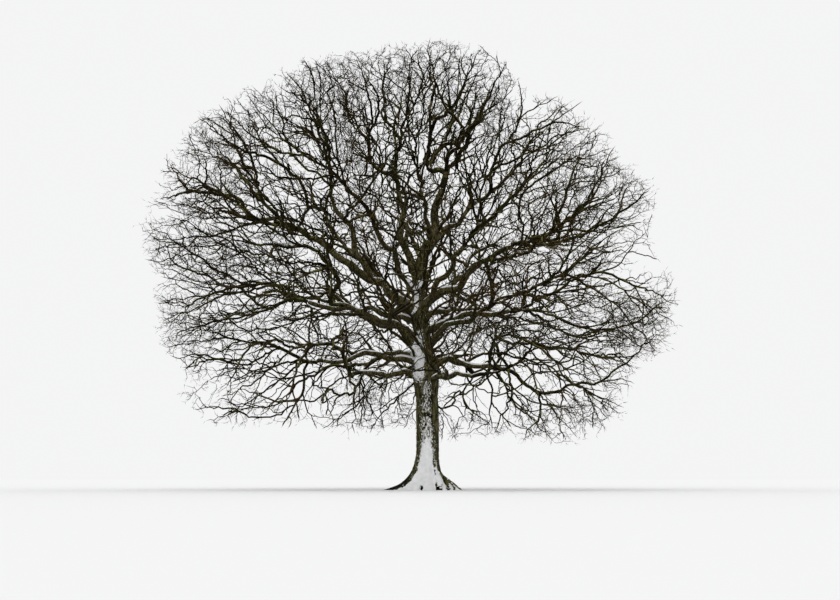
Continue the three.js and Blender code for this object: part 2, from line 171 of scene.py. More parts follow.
def make_camera():
    focal = CAMERA_DISTANCE / PIXEL_SIZE
    data = bpy.data.cameras.new("camera")
    data.sensor_width = SENSOR_WIDTH
    data.lens = focal * SENSOR_WIDTH / PHOTO_WIDTH
    data.clip_end = FARTHEST_SEEN
    camera = bpy.data.objects.new("camera", data)
    bpy.context.scene.collection.objects.link(camera)
    side = (FOOT_PIXEL[0] - PHOTO_WIDTH / 2) * PIXEL_SIZE
    foot_below = math.atan2(CAMERA_HEIGHT, CAMERA_DISTANCE)
    up = math.atan2(FOOT_PIXEL[1] - PHOTO_HEIGHT / 2, focal) - foot_below
    camera.location = (-side, -CAMERA_DISTANCE, CAMERA_HEIGHT)
    camera.rotation_euler = (math.radians(90) + up, 0, 0)
    bpy.context.scene.camera = camera


def plain_material(name, colour, roughness=0.9, specular=0.02):
    material = bpy.data.materials.new(name)
    material.use_nodes = True
    shader = material.node_tree.nodes["Principled BSDF"]
    shader.inputs["Base Color"].default_value = (*colour, 1)
    shader.inputs["Roughness"].default_value = roughness
    shader.inputs["Specular IOR Level"].default_value = specular
    return material


# Stage: even light from an overcast sky, a faint wide sun and a pale level floor.
SKY_COLOUR = (0.905, 0.908, 0.91)
SUN_ENERGY = 0.5
SUN_WIDTH = 60
SUN_TURN = (42, -18, 0)
FLOOR_HALF_SIZE = 750.0
FLOOR_COLOUR = (0.9, 0.9, 0.9)


def make_stage():
    bpy.context.scene.view_settings.view_transform = "Standard"
    world = bpy.data.worlds.new("overcast")
    bpy.context.scene.world = world
    world.use_nodes = True
    background = world.node_tree.nodes["Background"]
    background.inputs["Color"].default_value = (*SKY_COLOUR, 1)
    background.inputs["Strength"].default_value = 1.0
    light = bpy.data.lights.new("soft_daylight", "SUN")
    light.energy = SUN_ENERGY
    light.angle = math.radians(SUN_WIDTH)
    lamp = bpy.data.objects.new("soft_daylight", light)
    lamp.rotation_euler = [math.radians(angle) for angle in SUN_TURN]
    bpy.context.scene.collection.objects.link(lamp)
    mesh = bpy.data.meshes.new("floor")
    corners = [(x * FLOOR_HALF_SIZE, y * FLOOR_HALF_SIZE, 0) for x, y in ((-1, -1), (1, -1), (1, 1), (-1, 1))]
    mesh.from_pydata(corners, [], [(0, 1, 2, 3)])
    mesh.materials.append(plain_material("pale_floor", FLOOR_COLOUR, roughness=1.0, specular=0.0))
    floor = bpy.data.objects.new("floor", mesh)
    bpy.context.scene.collection.objects.link(floor)


# The rule of growth, as in the solids. The two numbers step its random draws.
DRAW_FACTOR, DRAW_STEP = 1664525, 1013904223


def seeded(seed):
    """Random numbers from 0 to 1 that are the same for the same seed."""
    state = seed % 2**32

    def draw():
        nonlocal state
        state = (state * DRAW_FACTOR + DRAW_STEP) % 2**32
        return state / 2**32

    return draw


def turn(degrees):
    angle = math.radians(degrees)
    return np.array([math.cos(angle), math.sin(angle), 0.0])


def unit(vectors):
    return vectors / np.linalg.norm(vectors, axis=-1, keepdims=True)


def eased(share):
    """Shares from 0 to 1 that set out and arrive level."""
    return share * share * (3 - 2 * share)


def degrees_off(azimuth, middle):
    """How many degrees an azimuth lies from another, less than zero on one side."""
    return (azimuth - middle + 180) % 360 - 180


def bezier(handles, share):
    """A curve from the first handle to the last, which leaves towards the second and comes from the third."""
    weights = [(1 - share) ** 3, 3 * (1 - share) ** 2 * share, 3 * (1 - share) * share**2, share**3]
    return sum(weight * handle for weight, handle in zip(weights, handles))


def trunk_radius(height):
    heights, radii = zip(*TRUNK_PROFILE)
    above = np.clip(np.searchsorted(heights, height, side="right"), 1, len(heights) - 1)
    low, high = np.take(heights, above - 1), np.take(heights, above)
    share = eased(np.clip((height - low) / (high - low), 0, 1))
    return np.take(radii, above - 1) * (1 - share) + np.take(radii, above) * share


def trunk_axis(height):
    share = height / FORK_HEIGHT
    bow = TRUNK_BOW * np.sin(math.pi * share) * (1 - share)
    return np.stack([TRUNK_LEAN * share * share + bow, 0 * share, height], axis=-1)


def root_reach(azimuth):
    """How far the root ridges stand out of the trunk in each direction at ground level."""
    draw = seeded(ROOT_SEED)
    reach = ROOT_WEB * ROOT_REACH + 0 * azimuth
    for i in range(ROOT_COUNT):
        middle = 180 + 360 * i / ROOT_COUNT + (draw() - 0.5) * ROOT_SWAY
        share = ROOT_SHORTEST + ROOT_LENGTH_RANGE * draw()
        length = ROOT_REACH * (1 if i == 0 else share)
        off = degrees_off(azimuth, middle)
        reach = reach + (1 - ROOT_WEB) * length * np.exp(-((off / ROOT_HALF_WIDTH) ** 2))
    return reach


def crown_depth(points):
    """0 at the crown's middle and 1 at its outline."""
    sideways, up = points[..., 0] - CROWN["axis_x"], points[..., 2] - CROWN["middle"]
    half = np.where(up > 0, CROWN["above"], CROWN["below"])
    squareness = np.where(up > 0, ROUND_ABOVE, SQUARE_BELOW)
    across = np.hypot(sideways / CROWN["half_width"], points[..., 1] / CROWN["half_depth"])
    depth = (across**squareness + (np.abs(up) / half) ** squareness) ** (1 / squareness)
    place = np.arctan2(up, sideways) / (2 * math.pi) % 1 * len(LOBES)
    return depth / np.interp(place, np.arange(len(LOBES) + 1), LOBES + LOBES[:1])


def space_of(name):
    azimuth, out, up = BOUGHS[name][4:]
    middle = turn(azimuth) * out + np.array([CROWN["axis_x"], 0, up])
    return middle, SPREAD[name.split("_")[0]]


SPACES = {name: space_of(name) for name in BOUGHS}


def farness(points, name):
    """How far each point is from a mass's middle, against how far the mass spreads."""
    middle, spread = SPACES[name]
    return np.sum((points - middle) ** 2, axis=-1) - spread**2


def keeps_to_space(name, points, margin):
    """Whether each point is on this mass's side of the planes between it and the others."""
    own = farness(points, name)
    kept = np.ones(np.shape(own), bool)
    for other in SPACES:
        if other != name:
            apart = 2 * np.linalg.norm(SPACES[name][0] - SPACES[other][0])
            kept &= (farness(points, other) - own) / apart > margin
    return kept


def bough_path(name, start, draw):
    """A bough's path from its parent's axis to the edge of its mass, with an oak's crooked bends."""
    middle, spread = SPACES[name]
    rise = math.radians(BOUGHS[name][2])
    reach = unit(middle - start)
    end = middle - reach * ENTRY_SHARE * spread
    length = np.linalg.norm(end - start)
    level = unit(reach * np.array([1, 1, 0]))
    leave = level * math.cos(rise) + np.array([0, 0, math.sin(rise)])
    share = np.arange(BOUGH_STEPS + 1)[:, None] / BOUGH_STEPS
    handles = [start, start + leave * LEAVE_SHARE * length, end - reach * ARRIVE_SHARE * length, end]
    points = bezier(handles, share)
    side = np.cross([0, 0, 1], level)
    up = -np.cross(side, reach)
    sideways, upwards = draw() * 2 * math.pi, draw() * 2 * math.pi
    waves = FEWEST_WAVES + WAVE_RANGE * draw()
    sway = BOUGH_WANDER * length * np.sin(math.pi * share)
    points = points + side * sway * np.sin(2 * math.pi * waves * share + sideways)
    return points + up * sway * np.sin(2 * math.pi * waves * share + upwards)


def point_at(points, share):
    place = share * (len(points) - 1)
    i = min(int(place), len(points) - 2)
    return points[i] + (points[i + 1] - points[i]) * (place - i)


LIMB_SEEDS = {name: i + 1 for i, name in enumerate(BOUGHS)}


def make_limbs():
    """Each bough's path and radii, a bough after the one that it grows from."""
    limbs = {}
    waiting = list(BOUGHS)
    while waiting:
        name = waiting.pop(0)
        parent, place = BOUGHS[name][:2]
        if parent != "trunk" and parent not in limbs:
            waiting.append(name)
            continue
        start = trunk_axis(np.float64(place)) if parent == "trunk" else point_at(limbs[parent][0], place)
        points = bough_path(name, start, seeded(LIMB_SEEDS[name]))
        radii = BOUGHS[name][3] * (1 - (1 - BOUGH_TIP_SHARE) * np.arange(BOUGH_STEPS + 1) / BOUGH_STEPS)
        limbs[name] = (points, radii)
    return limbs


LIMBS = make_limbs()


def limb_stretches():
    """Both ends and the radius of every straight stretch that the twigs keep clear of."""
    starts, ends, radii = [], [], []
    for points, widths in LIMBS.values():
        starts += list(points[:-1])
        ends += list(points[1:])
        radii += list(np.maximum(widths[:-1], widths[1:]))
    starts.append(np.array(CLEAR_WAY[0]))
    ends.append(np.array(CLEAR_WAY[1]))
    radii.append(CLEAR_WAY_RADIUS)
    return np.array(starts), np.array(ends), np.array(radii)


STRETCHES = limb_stretches()
NEARLY_PARALLEL = 1e-12


def clear_of_limbs(start, end, margin):
    """Whether one straight twig keeps clear of every limb and of the clear way."""
    starts, ends, radii = STRETCHES
    way, ways, apart = end - start, ends - starts, start - starts
    square, squares, shared = way @ way, np.sum(ways * ways, axis=1), ways @ way
    along, alongs = apart @ way, np.sum(ways * apart, axis=1)
    slant = square * squares - shared * shared
    nearest = np.clip((shared * alongs - along * squares) / np.maximum(slant, NEARLY_PARALLEL), 0, 1)
    share = np.where(slant > NEARLY_PARALLEL, nearest, 0)
    their_share = np.clip((shared * share + alongs) / squares, 0, 1)
    share = np.clip((shared * their_share - along) / square, 0, 1)
    gaps = np.linalg.norm(start + way * share[:, None] - starts - ways * their_share[:, None], axis=1)
    return bool(np.all(gaps > radii + margin))


def scatter(name, root, direction, draw):
    """Points spread evenly through a mass's space, none behind its bough's tip."""
    middle, spread = SPACES[name]
    found = []
    while len(found) < POINTS_PER_MASS:
        best, best_gap = None, -1
        for _ in range(SCATTER_TRIES):
            height = 2 * draw() - 1
            way = turn(360 * draw()) * math.sqrt(1 - height * height)
            way[2] = height
            point = middle + way * spread * draw() ** OUTWARD
            off = point - root
            if off @ direction < np.linalg.norm(off) * FURTHEST_BACK:
                continue
            if crown_depth(point) > 1 or not keeps_to_space(name, point, MASS_MARGIN):
                continue
            gap = min([np.linalg.norm(other - point) for other in found] + [2 * spread])
            if gap > best_gap:
                best, best_gap = point, gap
        if best is not None:
            found.append(best)
    return found


def outward(points):
    """The way that twigs tend to grow: away from under the fork, so up at the top and down at the foot."""
    return unit(points - GROWTH_CENTRE)


def drooping(points):
    """The way that the finer twigs tend to grow: outward, and more steeply down below the fork."""
    away = points - GROWTH_CENTRE
    return unit(away * np.where(away[..., 2:] < 0, [1, 1, DROOP], 1.0))


def grow_skeleton(name):
    """The mass's main twigs as places and parents, by the solids' rule."""
    points, _ = LIMBS[name]
    direction = unit(points[-1] - points[-2])
    root = points[-1] + direction * GAP
    draw = seeded(LIMB_SEEDS[name] * MASS_SEED_STEP)
    goals = sorted(scatter(name, root, direction, draw), key=lambda goal: np.linalg.norm(goal - root))
    places = [root, root + direction * STEM_LENGTH]
    parents, alongs, ways_back, joined = [-1, 0], [direction, direction], [0.0, 0.0], [1, 0]
    for goal in goals:
        off = goal - np.array(places)
        lengths = np.linalg.norm(off, axis=1)
        along = off / lengths[:, None]
        turning = TURN_COST * (1 - np.sum(along * np.array(alongs), axis=1))
        straying = STRAY_COST * (1 - along @ outward(goal))
        crowding = CROWD_COST * np.array(joined) ** 2
        costs = lengths * (1 + turning + straying) + WAY_BACK_COST * np.array(ways_back) + crowding
        costs[(lengths > LONGEST_TWIG) | (np.arange(len(costs)) == 0)] = np.inf
        for parent in np.argsort(costs, kind="stable"):
            if costs[parent] == np.inf:
                break
            if not clear_of_limbs(places[parent], goal, LIMB_CLEARANCE):
                continue
            joined[parent] += 1
            places.append(goal)
            parents.append(int(parent))
            alongs.append(along[parent])
            ways_back.append(ways_back[parent] + lengths[parent])
            joined.append(0)
            break
    ease(places, parents)
    reach_out(name, places, parents, alongs)
    return np.array(places), parents


def ease(places, parents):
    """Moves the forks towards the middle of their neighbours, so that the twigs bend less at each."""
    for i in range(len(places) - 1, 1, -1):
        children = [k for k, parent in enumerate(parents) if parent == i]
        if not children:
            continue
        parent = places[parents[i]]
        middle = (parent + places[children[0]]) / 2
        moved = places[i] + (middle - places[i]) * EASING
        ends = [parent] + [places[k] for k in children]
        if all(clear_of_limbs(moved, end, LIMB_CLEARANCE) for end in ends):
            places[i] = moved


def reach_out(name, places, parents, alongs):
    """Carries each tip on towards the crown's outline, while it keeps to its space and clear of limbs."""
    for i in set(range(len(places))) - set(parents):
        gone = 0.0
        while gone < LAST_REACH - ROUNDING:
            onward = places[i] + alongs[i] * LAST_REACH_STEP
            if crown_depth(onward) > 1 or not keeps_to_space(name, onward, MASS_MARGIN):
                break
            if not clear_of_limbs(places[i], onward, LIMB_CLEARANCE):
                break
            places[i] = onward
            gone += LAST_REACH_STEP


# Finer twigs: they run to points on a loose grid through the crown, from the best place on what is
# already there, in four orders, and carry short spurs. Each order has, line by line: the grid's cell, the
# longest way to a point, what turning and straying from the outward way cost, and how crooked and in how
# many samples a twig is drawn; its first and last radius, the sides of its tube, the rounds that it grows
# in and the spurs on each; how much of the grid it uses inside the crown, how steeply that rises towards
# the outline, how much it uses before and behind the middle, and how far clumps and spots change it.
ORDERS = {
    "side_limb": {
        "cell": 1.32, "longest": 6.0, "turn_cost": 1.6, "stray_cost": 1.5, "crook": 0.014, "samples": 13,
        "radii": (0.085, 0.028), "sides": 4, "rounds": 4, "spurs": 1,
        "inner": 1.0, "shell": 3, "middle": 1.1, "clumped": 0, "spotted": 0.7,
    },
    "branch": {
        "cell": 1.15, "longest": 3.6, "turn_cost": 1.3, "stray_cost": 0.9, "crook": 0.028, "samples": 9,
        "radii": (0.045, 0.018), "sides": 3, "rounds": 3, "spurs": 2,
        "inner": 0.75, "shell": 3, "middle": 1.0, "clumped": 0.5, "spotted": 1,
    },
    "branchlet": {
        "cell": 0.78, "longest": 2.0, "turn_cost": 0.9, "stray_cost": 0.6, "crook": 0.055, "samples": 7,
        "radii": (0.024, 0.012), "sides": 3, "rounds": 3, "spurs": 4,
        "inner": 0.03, "shell": 3, "middle": 0.62, "clumped": 1, "spotted": 1,
    },
    "twiglet": {
        "cell": 0.42, "longest": 1.0, "turn_cost": 0.5, "stray_cost": 0.3, "crook": 0.1, "samples": 4,
        "radii": (0.013, 0.007), "sides": 3, "rounds": 2, "spurs": 3,
        "inner": 0.0, "shell": 4, "middle": 0.5, "clumped": 1, "spotted": 1,
    },
}

# How all the finer twigs leave what carries them, bend and arrive, and the spurs on them.
SHORTEST_TWIG = 0.1
TWIG_HANDLE_SHARE = 0.35
SLIMMER_THAN_CARRIER = 0.85
ARRIVE_OUTWARD = 0.7
DROOP = 1.9
FOLLOW = 0.8
SPUR_RADIUS = 0.008
SPUR_SIDES = 3
SPUR_LENGTH = (0.08, 0.26)
SPUR_LEAN = (0.5, 1.5)
SPUR_DROOP = 0.3

# Where the finer twigs' points lie: how far out and past the solids' box they come, how near the trunk,
# in what lumps and sprays, and how dense they are by height, low down for the clumped orders alone,
# round the crown's middle as seen from the front, and towards its rim.
REACH = 1.015
GRID_SHARE = 1.03
BOX_MARGIN = np.array([0.0, 0.1, 0.35])
TRUNK_CLEARANCE = 0.9
LUMP_DEPTH = 0.05
LUMP_SIZE = 2.4
SPRAY_SIZE = 1.8
CLUMP_LEVEL, CLUMP_RANGE = 0.6, 1.2
SPARSEST = 0.06
HEIGHT_DENSITY = ((2.5, 4.2, 5.6, 7.0, 10.0, 14.0, 17.0, 19.0), (0.3, 0.33, 0.62, 1.15, 1.15, 1.1, 1.35, 2.6))
HANGING_DENSITY = ((2.5, 4.2, 5.6), (1.5, 1.0, 1.0))
MIDDLE_RANGE = (0.4, 0.85)
RIM_DENSITY = ((0.9, 1.02), (1.0, 0.75))

# Thickets and openings that the crown shows from the front: x, height, and how much denser the finer
# twigs are there, as a power of e.
SPOT_SIZE = 0.95
SPOTS = [
    (2.2, 6.8, 1.9), (3.4, 9.8, 1.1), (-3.5, 7.4, 1.0), (3.8, 7.2, 0.9), (-2.2, 12.0, 0.9),
    (-9.3, 15.2, 0.8), (-3.2, 14.6, 0.8), (9.1, 7.3, 0.8), (1.7, 13.1, 1.1), (-1.8, 11.0, 0.7),
    (-8.4, 9.8, 0.7), (6.7, 7.4, 0.8), (8.0, 7.1, 0.6), (7.2, 3.2, 1.2), (-7.1, 10.9, 0.6),
    (-2.6, 4.4, 0.8), (2.5, 9.2, 0.6), (1.2, 6.9, 0.6), (-3.6, 16.6, 0.8), (3.2, 16.4, 0.7),
    (4.5, 9.8, 0.6), (1.6, 11.7, 0.8), (7.5, 11.6, 0.5), (-2.0, 10.6, 0.9), (-2.9, 12.7, 0.8),
    (-3.5, 15.4, 0.6), (-4.9, 11.6, 0.4), (-6.5, 7.8, 0.4), (10.3, 10.0, -1.6), (-9.0, 3.2, -0.4),
    (-11.7, 11.8, -1.6), (-7.0, 18.0, -0.8), (-6.0, 4.4, -1.6), (-1.8, 8.0, -1.4), (-1.7, 6.0, -1.2),
    (-5.8, 4.9, -2.0), (1.9, 4.1, -2.0), (2.9, 4.8, -2.6), (3.4, 3.9, -2.2), (8.8, 10.2, -1.2),
    (9.7, 9.6, -1.2), (9.7, 10.9, -1.0), (8.5, 9.1, -0.8), (-4.7, 14.6, -1.5), (9.3, 12.3, -0.8),
    (4.8, 17.2, -1.6), (-8.2, 12.1, -0.7), (-11.3, 9.1, -0.8), (-6.3, 3.9, -1.0), (5.0, 5.5, -0.8),
    (-10.3, 8.7, -0.7), (-7.1, 14.7, -0.7), (-8.7, 5.0, -1.0), (5.9, 4.9, -0.8), (-4.0, 3.9, -0.8),
    (1.8, 5.2, -0.6),
]

# Main limbs of a mass: how their radius follows from the tips that they carry, the thinnest by the
# crown's level, how smooth and crooked they are, and where else their twigs may start.
PIPE_POWER = 3.0
THINNEST_LIMB = {"low": 0.024, "mid": 0.033, "upper": 0.034, "high": 0.034, "top": 0.032}
SAMPLE_STEP = 0.2
CROOK = 0.04
THICK_LIMB = 0.05
THICK_LIMB_SIDES, THIN_LIMB_SIDES = 8, 5
FIRST_SHARE_WITH_TWIGS = 0.15
TRUNK_LIMB_RANGE = 0.9
TRUNK_LIMB_PLACES = 5
TRUNK_LIMB_START = 0.1
TRUNK_LIMB_RADIUS = 0.11

# Odd whole numbers that scatter the noise's values.
NOISE_PRIMES = (73856093, 19349663, 83492791)
NOISE_MIXER = 1274126177


def noise(points):
    """Smooth noise from -1 to 1 at each point, with features about one unit across."""
    base = np.floor(points).astype(np.int64)
    part = eased(points - base)
    hashed = [(base[..., i, None] + [0, 1]) * NOISE_PRIMES[i] for i in range(3)]
    total = 0
    for i, j, k in np.ndindex(2, 2, 2):
        mixed = hashed[0][..., i] ^ hashed[1][..., j] ^ hashed[2][..., k]
        mixed = (mixed ^ (mixed >> 13)) * NOISE_MIXER & 0xFFFFFFFF
        value = ((mixed ^ (mixed >> 16)) & 0xFFFF) / 0x7FFF - 1
        weight = np.abs(1 - i - part[..., 0]) * np.abs(1 - j - part[..., 1]) * np.abs(1 - k - part[..., 2])
        total = total + weight * value
    return total


def layered(points, layers):
    """Layers of noise added up, each by its depth, its features to the metre and where it starts."""
    return sum(depth * noise(points * features + start) for depth, features, start in layers)


def from_stretch(points, start, end):
    """How far each point lies from a straight stretch."""
    way = np.subtract(end, start)
    share = np.clip((points - start) @ way / (way @ way), 0, 1)
    return np.linalg.norm(points - start - share[..., None] * way, axis=-1)


def in_clear_way(points):
    """Whether each point lies where the trunk's foot is kept in sight."""
    return from_stretch(points, *CLEAR_WAY) < CLEAR_WAY_RADIUS


def spot_strength(points):
    """How strongly the thickets and openings count at each point, as seen by the camera."""
    scale = CAMERA_DISTANCE / (CAMERA_DISTANCE + points[:, 1])
    seen_x = points[:, 0] * scale
    seen_z = CAMERA_HEIGHT + (points[:, 2] - CAMERA_HEIGHT) * scale
    total = 0
    for x, height, strength in SPOTS:
        total = total + strength * np.exp(-((seen_x - x) ** 2 + (seen_z - height) ** 2) / SPOT_SIZE**2)
    return total


def crown_points(order, random):
    """Points on a loose grid through the crown, in clumps, and denser towards its outline."""
    middle = np.array([CROWN["axis_x"], 0, CROWN["middle"]])
    low = middle - [CROWN["half_width"], CROWN["half_depth"], CROWN["below"]]
    high = middle + [CROWN["half_width"], CROWN["half_depth"], CROWN["above"]]
    axes = [np.arange(a, b, order["cell"]) for a, b in zip(low * GRID_SHARE, high * GRID_SHARE)]
    points = np.stack(np.meshgrid(*axes, indexing="ij"), axis=-1).reshape(-1, 3)
    points = points + random.uniform(0, order["cell"], points.shape)
    depth = crown_depth(points) * (1 + LUMP_DEPTH * np.abs(noise(points / LUMP_SIZE)))
    chance = order["inner"] + (1 - order["inner"]) * depth ** order["shell"]
    chance = chance * np.interp(points[:, 2], *HEIGHT_DENSITY) * np.interp(depth, *RIM_DENSITY)
    chance = chance * np.interp(points[:, 2], *HANGING_DENSITY) ** order["clumped"]
    chance = chance * np.interp(crown_depth(points * [1, 0, 1]), MIDDLE_RANGE, (order["middle"], 1))
    chance = chance * np.exp(order["spotted"] * spot_strength(points))
    clumps = np.clip(CLUMP_LEVEL + CLUMP_RANGE * noise(points / SPRAY_SIZE), SPARSEST, 1)
    chance = chance * (1 + order["clumped"] * (clumps - 1))
    kept = (depth <= REACH) & (random.uniform(0, 1, len(points)) < chance)
    kept &= np.hypot(points[:, 0], points[:, 1]) > TRUNK_CLEARANCE
    kept &= ~in_clear_way(points)
    boxed = (points > np.array(cad_low) - BOX_MARGIN) & (points < np.array(cad_high) + BOX_MARGIN)
    return points[kept & np.all(boxed, axis=1)]


def share_out(points):
    """The points that each mass's space holds."""
    nearest = np.argmin([farness(points, name) for name in SPACES], axis=0)
    return {name: points[nearest == i] for i, name in enumerate(SPACES)}


def count_tips(parents):
    tips = [0] * len(parents)
    inner = set(parents)
    for i in range(len(parents) - 1, -1, -1):
        if i not in inner:
            tips[i] = 1
        if parents[i] >= 0:
            tips[parents[i]] += tips[i]
    return tips


def runs_of(parents, tips):
    """Each run of limb from a fork to its tip, as indices, the stem's own run first."""
    children = [[] for _ in parents]
    for i, parent in enumerate(parents):
        if parent >= 0:
            children[parent].append(i)
    runs, waiting = [], [[0]]
    while waiting:
        run = waiting.pop(0)
        while children[run[-1]]:
            order = sorted(children[run[-1]], key=lambda k: -tips[k])
            waiting += [[run[-1], side] for side in order[1:]]
            run.append(order[0])
        runs.append(run)
    return runs


def smooth_run(points, radii, before, step, crook, random):
    """A curve through the points in short steps, with small crooked bends between them. It starts
    along the vector before, or straight to its second point."""
    ways = points[1:] - points[:-1]
    lengths = np.linalg.norm(ways, axis=1)
    middles = unit(unit(ways[1:]) + unit(ways[:-1])) if len(ways) > 1 else ways[:0]
    alongs = np.concatenate([unit(before + unit(ways[:1])), middles, unit(ways[-1:])])
    places, widths = [points[:1]], [radii[:1]]
    for i, length in enumerate(lengths):
        count = max(2, round(length / step))
        share = (np.arange(1, count + 1) / count)[:, None]
        square, cube = share**2, share**3
        curve = (2 * cube - 3 * square + 1) * points[i] + (3 * square - 2 * cube) * points[i + 1]
        curve += length * ((cube - 2 * square + share) * alongs[i] + (cube - square) * alongs[i + 1])
        curve += random.normal(0, crook, (count, 3)) * np.sin(math.pi * share)
        places.append(curve)
        widths.append(radii[i] + (radii[i + 1] - radii[i]) * share[:, 0])
    return np.concatenate(places), np.concatenate(widths)


def alongs_of(paths):
    """The direction at each point of each path."""
    ways = np.empty_like(paths)
    ways[..., 1:-1, :] = paths[..., 2:, :] - paths[..., :-2, :]
    ways[..., 0, :] = paths[..., 1, :] - paths[..., 0, :]
    ways[..., -1, :] = paths[..., -1, :] - paths[..., -2, :]
    return unit(ways)


def join(goals, places, alongs, order):
    """The place that each goal's twig grows from, by a short way that turns little, or -1."""
    off = goals[:, None] - places[None]
    lengths = np.linalg.norm(off, axis=2)
    turning = 1 - np.einsum("gpk,pk->gp", off, alongs) / lengths
    straying = 1 - np.einsum("gpk,gk->gp", off, drooping(goals)) / lengths
    costs = lengths * (1 + order["turn_cost"] * turning + order["stray_cost"] * straying)
    costs[(lengths > order["longest"]) | (lengths < SHORTEST_TWIG)] = np.inf
    best = np.argmin(costs, axis=1)
    return np.where(np.isfinite(costs[np.arange(len(goals)), best]), best, -1)


def curved_twigs(starts, start_alongs, goals, order, random):
    """Twigs that leave along what carries them and bend to their goals, with crooked bends."""
    way = goals - starts
    length = np.linalg.norm(way, axis=1, keepdims=True)
    leave = unit(start_alongs * FOLLOW + way / length)
    arrive = unit(way / length + ARRIVE_OUTWARD * drooping(goals))
    share = np.linspace(0, 1, order["samples"])[None, :, None]
    after, before = leave * length * TWIG_HANDLE_SHARE, arrive * length * TWIG_HANDLE_SHARE
    handles = [starts, starts + after, goals - before, goals]
    paths = bezier([handle[:, None] for handle in handles], share)
    bends = random.normal(0, order["crook"], paths.shape) * length[:, None] * np.sin(math.pi * share)
    return paths + bends


def grow_order(goals, grown, order, random):
    """Grows one order of twigs to its goals, and adds to the places that later ones may grow from."""
    paths, radii = [], []
    places, alongs, widths = grown
    nearness = [np.min(np.linalg.norm(places - goal, axis=1)) for goal in goals]
    goals = goals[np.argsort(nearness, kind="stable")]
    for some in np.array_split(goals, order["rounds"]):
        best = join(some, places, alongs, order)
        some, best = some[best >= 0], best[best >= 0]
        made = curved_twigs(places[best], alongs[best], some, order, random)
        clear = ~np.any(in_clear_way(made), axis=1)
        made, best = made[clear], best[clear]
        first = np.minimum(order["radii"][0], SLIMMER_THAN_CARRIER * widths[best])
        last = np.minimum(order["radii"][1], first)
        taper = first[:, None] + (last - first)[:, None] * np.linspace(0, 1, order["samples"])
        paths.append(made)
        radii.append(taper)
        places = np.concatenate([places, made[:, 1:].reshape(-1, 3)])
        alongs = np.concatenate([alongs, alongs_of(made)[:, 1:].reshape(-1, 3)])
        widths = np.concatenate([widths, taper[:, 1:].reshape(-1)])
    return np.concatenate(paths), np.concatenate(radii), (places, alongs, widths)


def spurs_on(paths, each, random):
    """Short straight spurs that stand out from twigs, with one at the tip of each."""
    count, samples = paths.shape[:2]
    alongs = alongs_of(paths)
    spots = random.integers(1, samples, (count, each))
    spots[:, 0] = samples - 1
    rows = np.arange(count)[:, None]
    starts, along = paths[rows, spots].reshape(-1, 3), alongs[rows, spots].reshape(-1, 3)
    across = np.cross(along, random.normal(0, 1, along.shape))
    lean = random.uniform(*SPUR_LEAN, (len(along), 1))
    way = unit(along + unit(across) * lean + SPUR_DROOP * drooping(starts))
    ends = starts + way * random.uniform(*SPUR_LENGTH, (len(along), 1))
    return np.stack([starts, ends], axis=1)


class Surface:
    """Vertices, faces and material numbers gathered for one piece."""

    def __init__(self):
        self.vertices, self.faces, self.materials, self.total = [], [], [], 0

    def add(self, vertices, faces, material=0):
        """Adds triangles or quads, as rows of vertex numbers that start again at 0 for each batch of
        vertices. Faces with no vertices of their own share those of the next batch."""
        self.faces.append(faces + self.total)
        self.materials.append(np.broadcast_to(material, len(faces)))
        if vertices is not None:
            self.vertices.append(vertices.reshape(-1, 3))
            self.total += len(self.vertices[-1])

    def piece(self, name, materials):
        """The piece as a mesh of only those vertices that its faces use."""
        mesh = bpy.data.meshes.new(name)
        sizes = np.concatenate([np.full(len(faces), faces.shape[1]) for faces in self.faces]).astype(np.int32)
        corners = np.concatenate([faces.ravel() for faces in self.faces])
        used, corners = np.unique(corners, return_inverse=True)
        vertices = np.concatenate(self.vertices)[used].astype(np.float32)
        corners = corners.ravel().astype(np.int32)
        mesh.vertices.add(len(vertices))
        mesh.vertices.foreach_set("co", vertices.ravel())
        mesh.loops.add(len(corners))
        mesh.loops.foreach_set("vertex_index", corners)
        mesh.polygons.add(len(sizes))
        mesh.polygons.foreach_set("loop_start", (np.cumsum(sizes) - sizes).astype(np.int32))
        mesh.polygons.foreach_set("material_index", np.concatenate(self.materials).astype(np.int32))
        mesh.polygons.foreach_set("use_smooth", np.ones(len(sizes), bool))
        mesh.update(calc_edges=True)
        for material in materials:
            mesh.materials.append(material)
        piece = bpy.data.objects.new(name, mesh)
        bpy.context.scene.collection.objects.link(piece)
        changed = mesh.validate()
        print(name, int(np.sum(sizes - 2)), "triangles, changed by validate:", changed)
        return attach(piece, "root")


# Kinds of bark on the limbs and twigs. Each has a copy darkened by painted shade for the faces that look
# down and a copy lightened by painted light for the faces that look up. Main limbs are dark or mossy in
# patches.
TWIG_COLOURS = {
    "limb_bark": (0.037, 0.029, 0.012),
    "brown_twig": (0.038, 0.027, 0.011),
    "grey_twig": (0.031, 0.026, 0.013),
    "olive_twig": (0.034, 0.03, 0.01),
    "ochre_twig": (0.05, 0.031, 0.011),
    "dark_bark": (0.012, 0.01, 0.004),
    "mossy_bark": (0.05, 0.05, 0.014),
}
KINDS = {name: i for i, name in enumerate(TWIG_COLOURS)}
# Painted shade and painted light: how much darker and lighter than its kind's colour each copy is, and how
# far up a face must look to take the painted light.
PAINTED_UNDERSIDE_SHADE, PAINTED_TOP_LIGHT = 0.45, 2.1
PAINTED_LIGHT_FACING = 0.2
DAPPLES = 7.0
DARK_BELOW, MOSSY_ABOVE = -0.12, 0.3

# Bends in everything that grows on the trunk: how long and how deep, and where their noise starts.
BENDS = ((1.0, 0.17), (0.42, 0.055))
BEND_OFFSETS = (0.5, 17.5, 41.5)
UPRIGHT_SHARE = 0.9


def square_to(way, along):
    """The way turned square to each direction along."""
    return unit(way - np.sum(way * along, axis=-1, keepdims=True) * along)


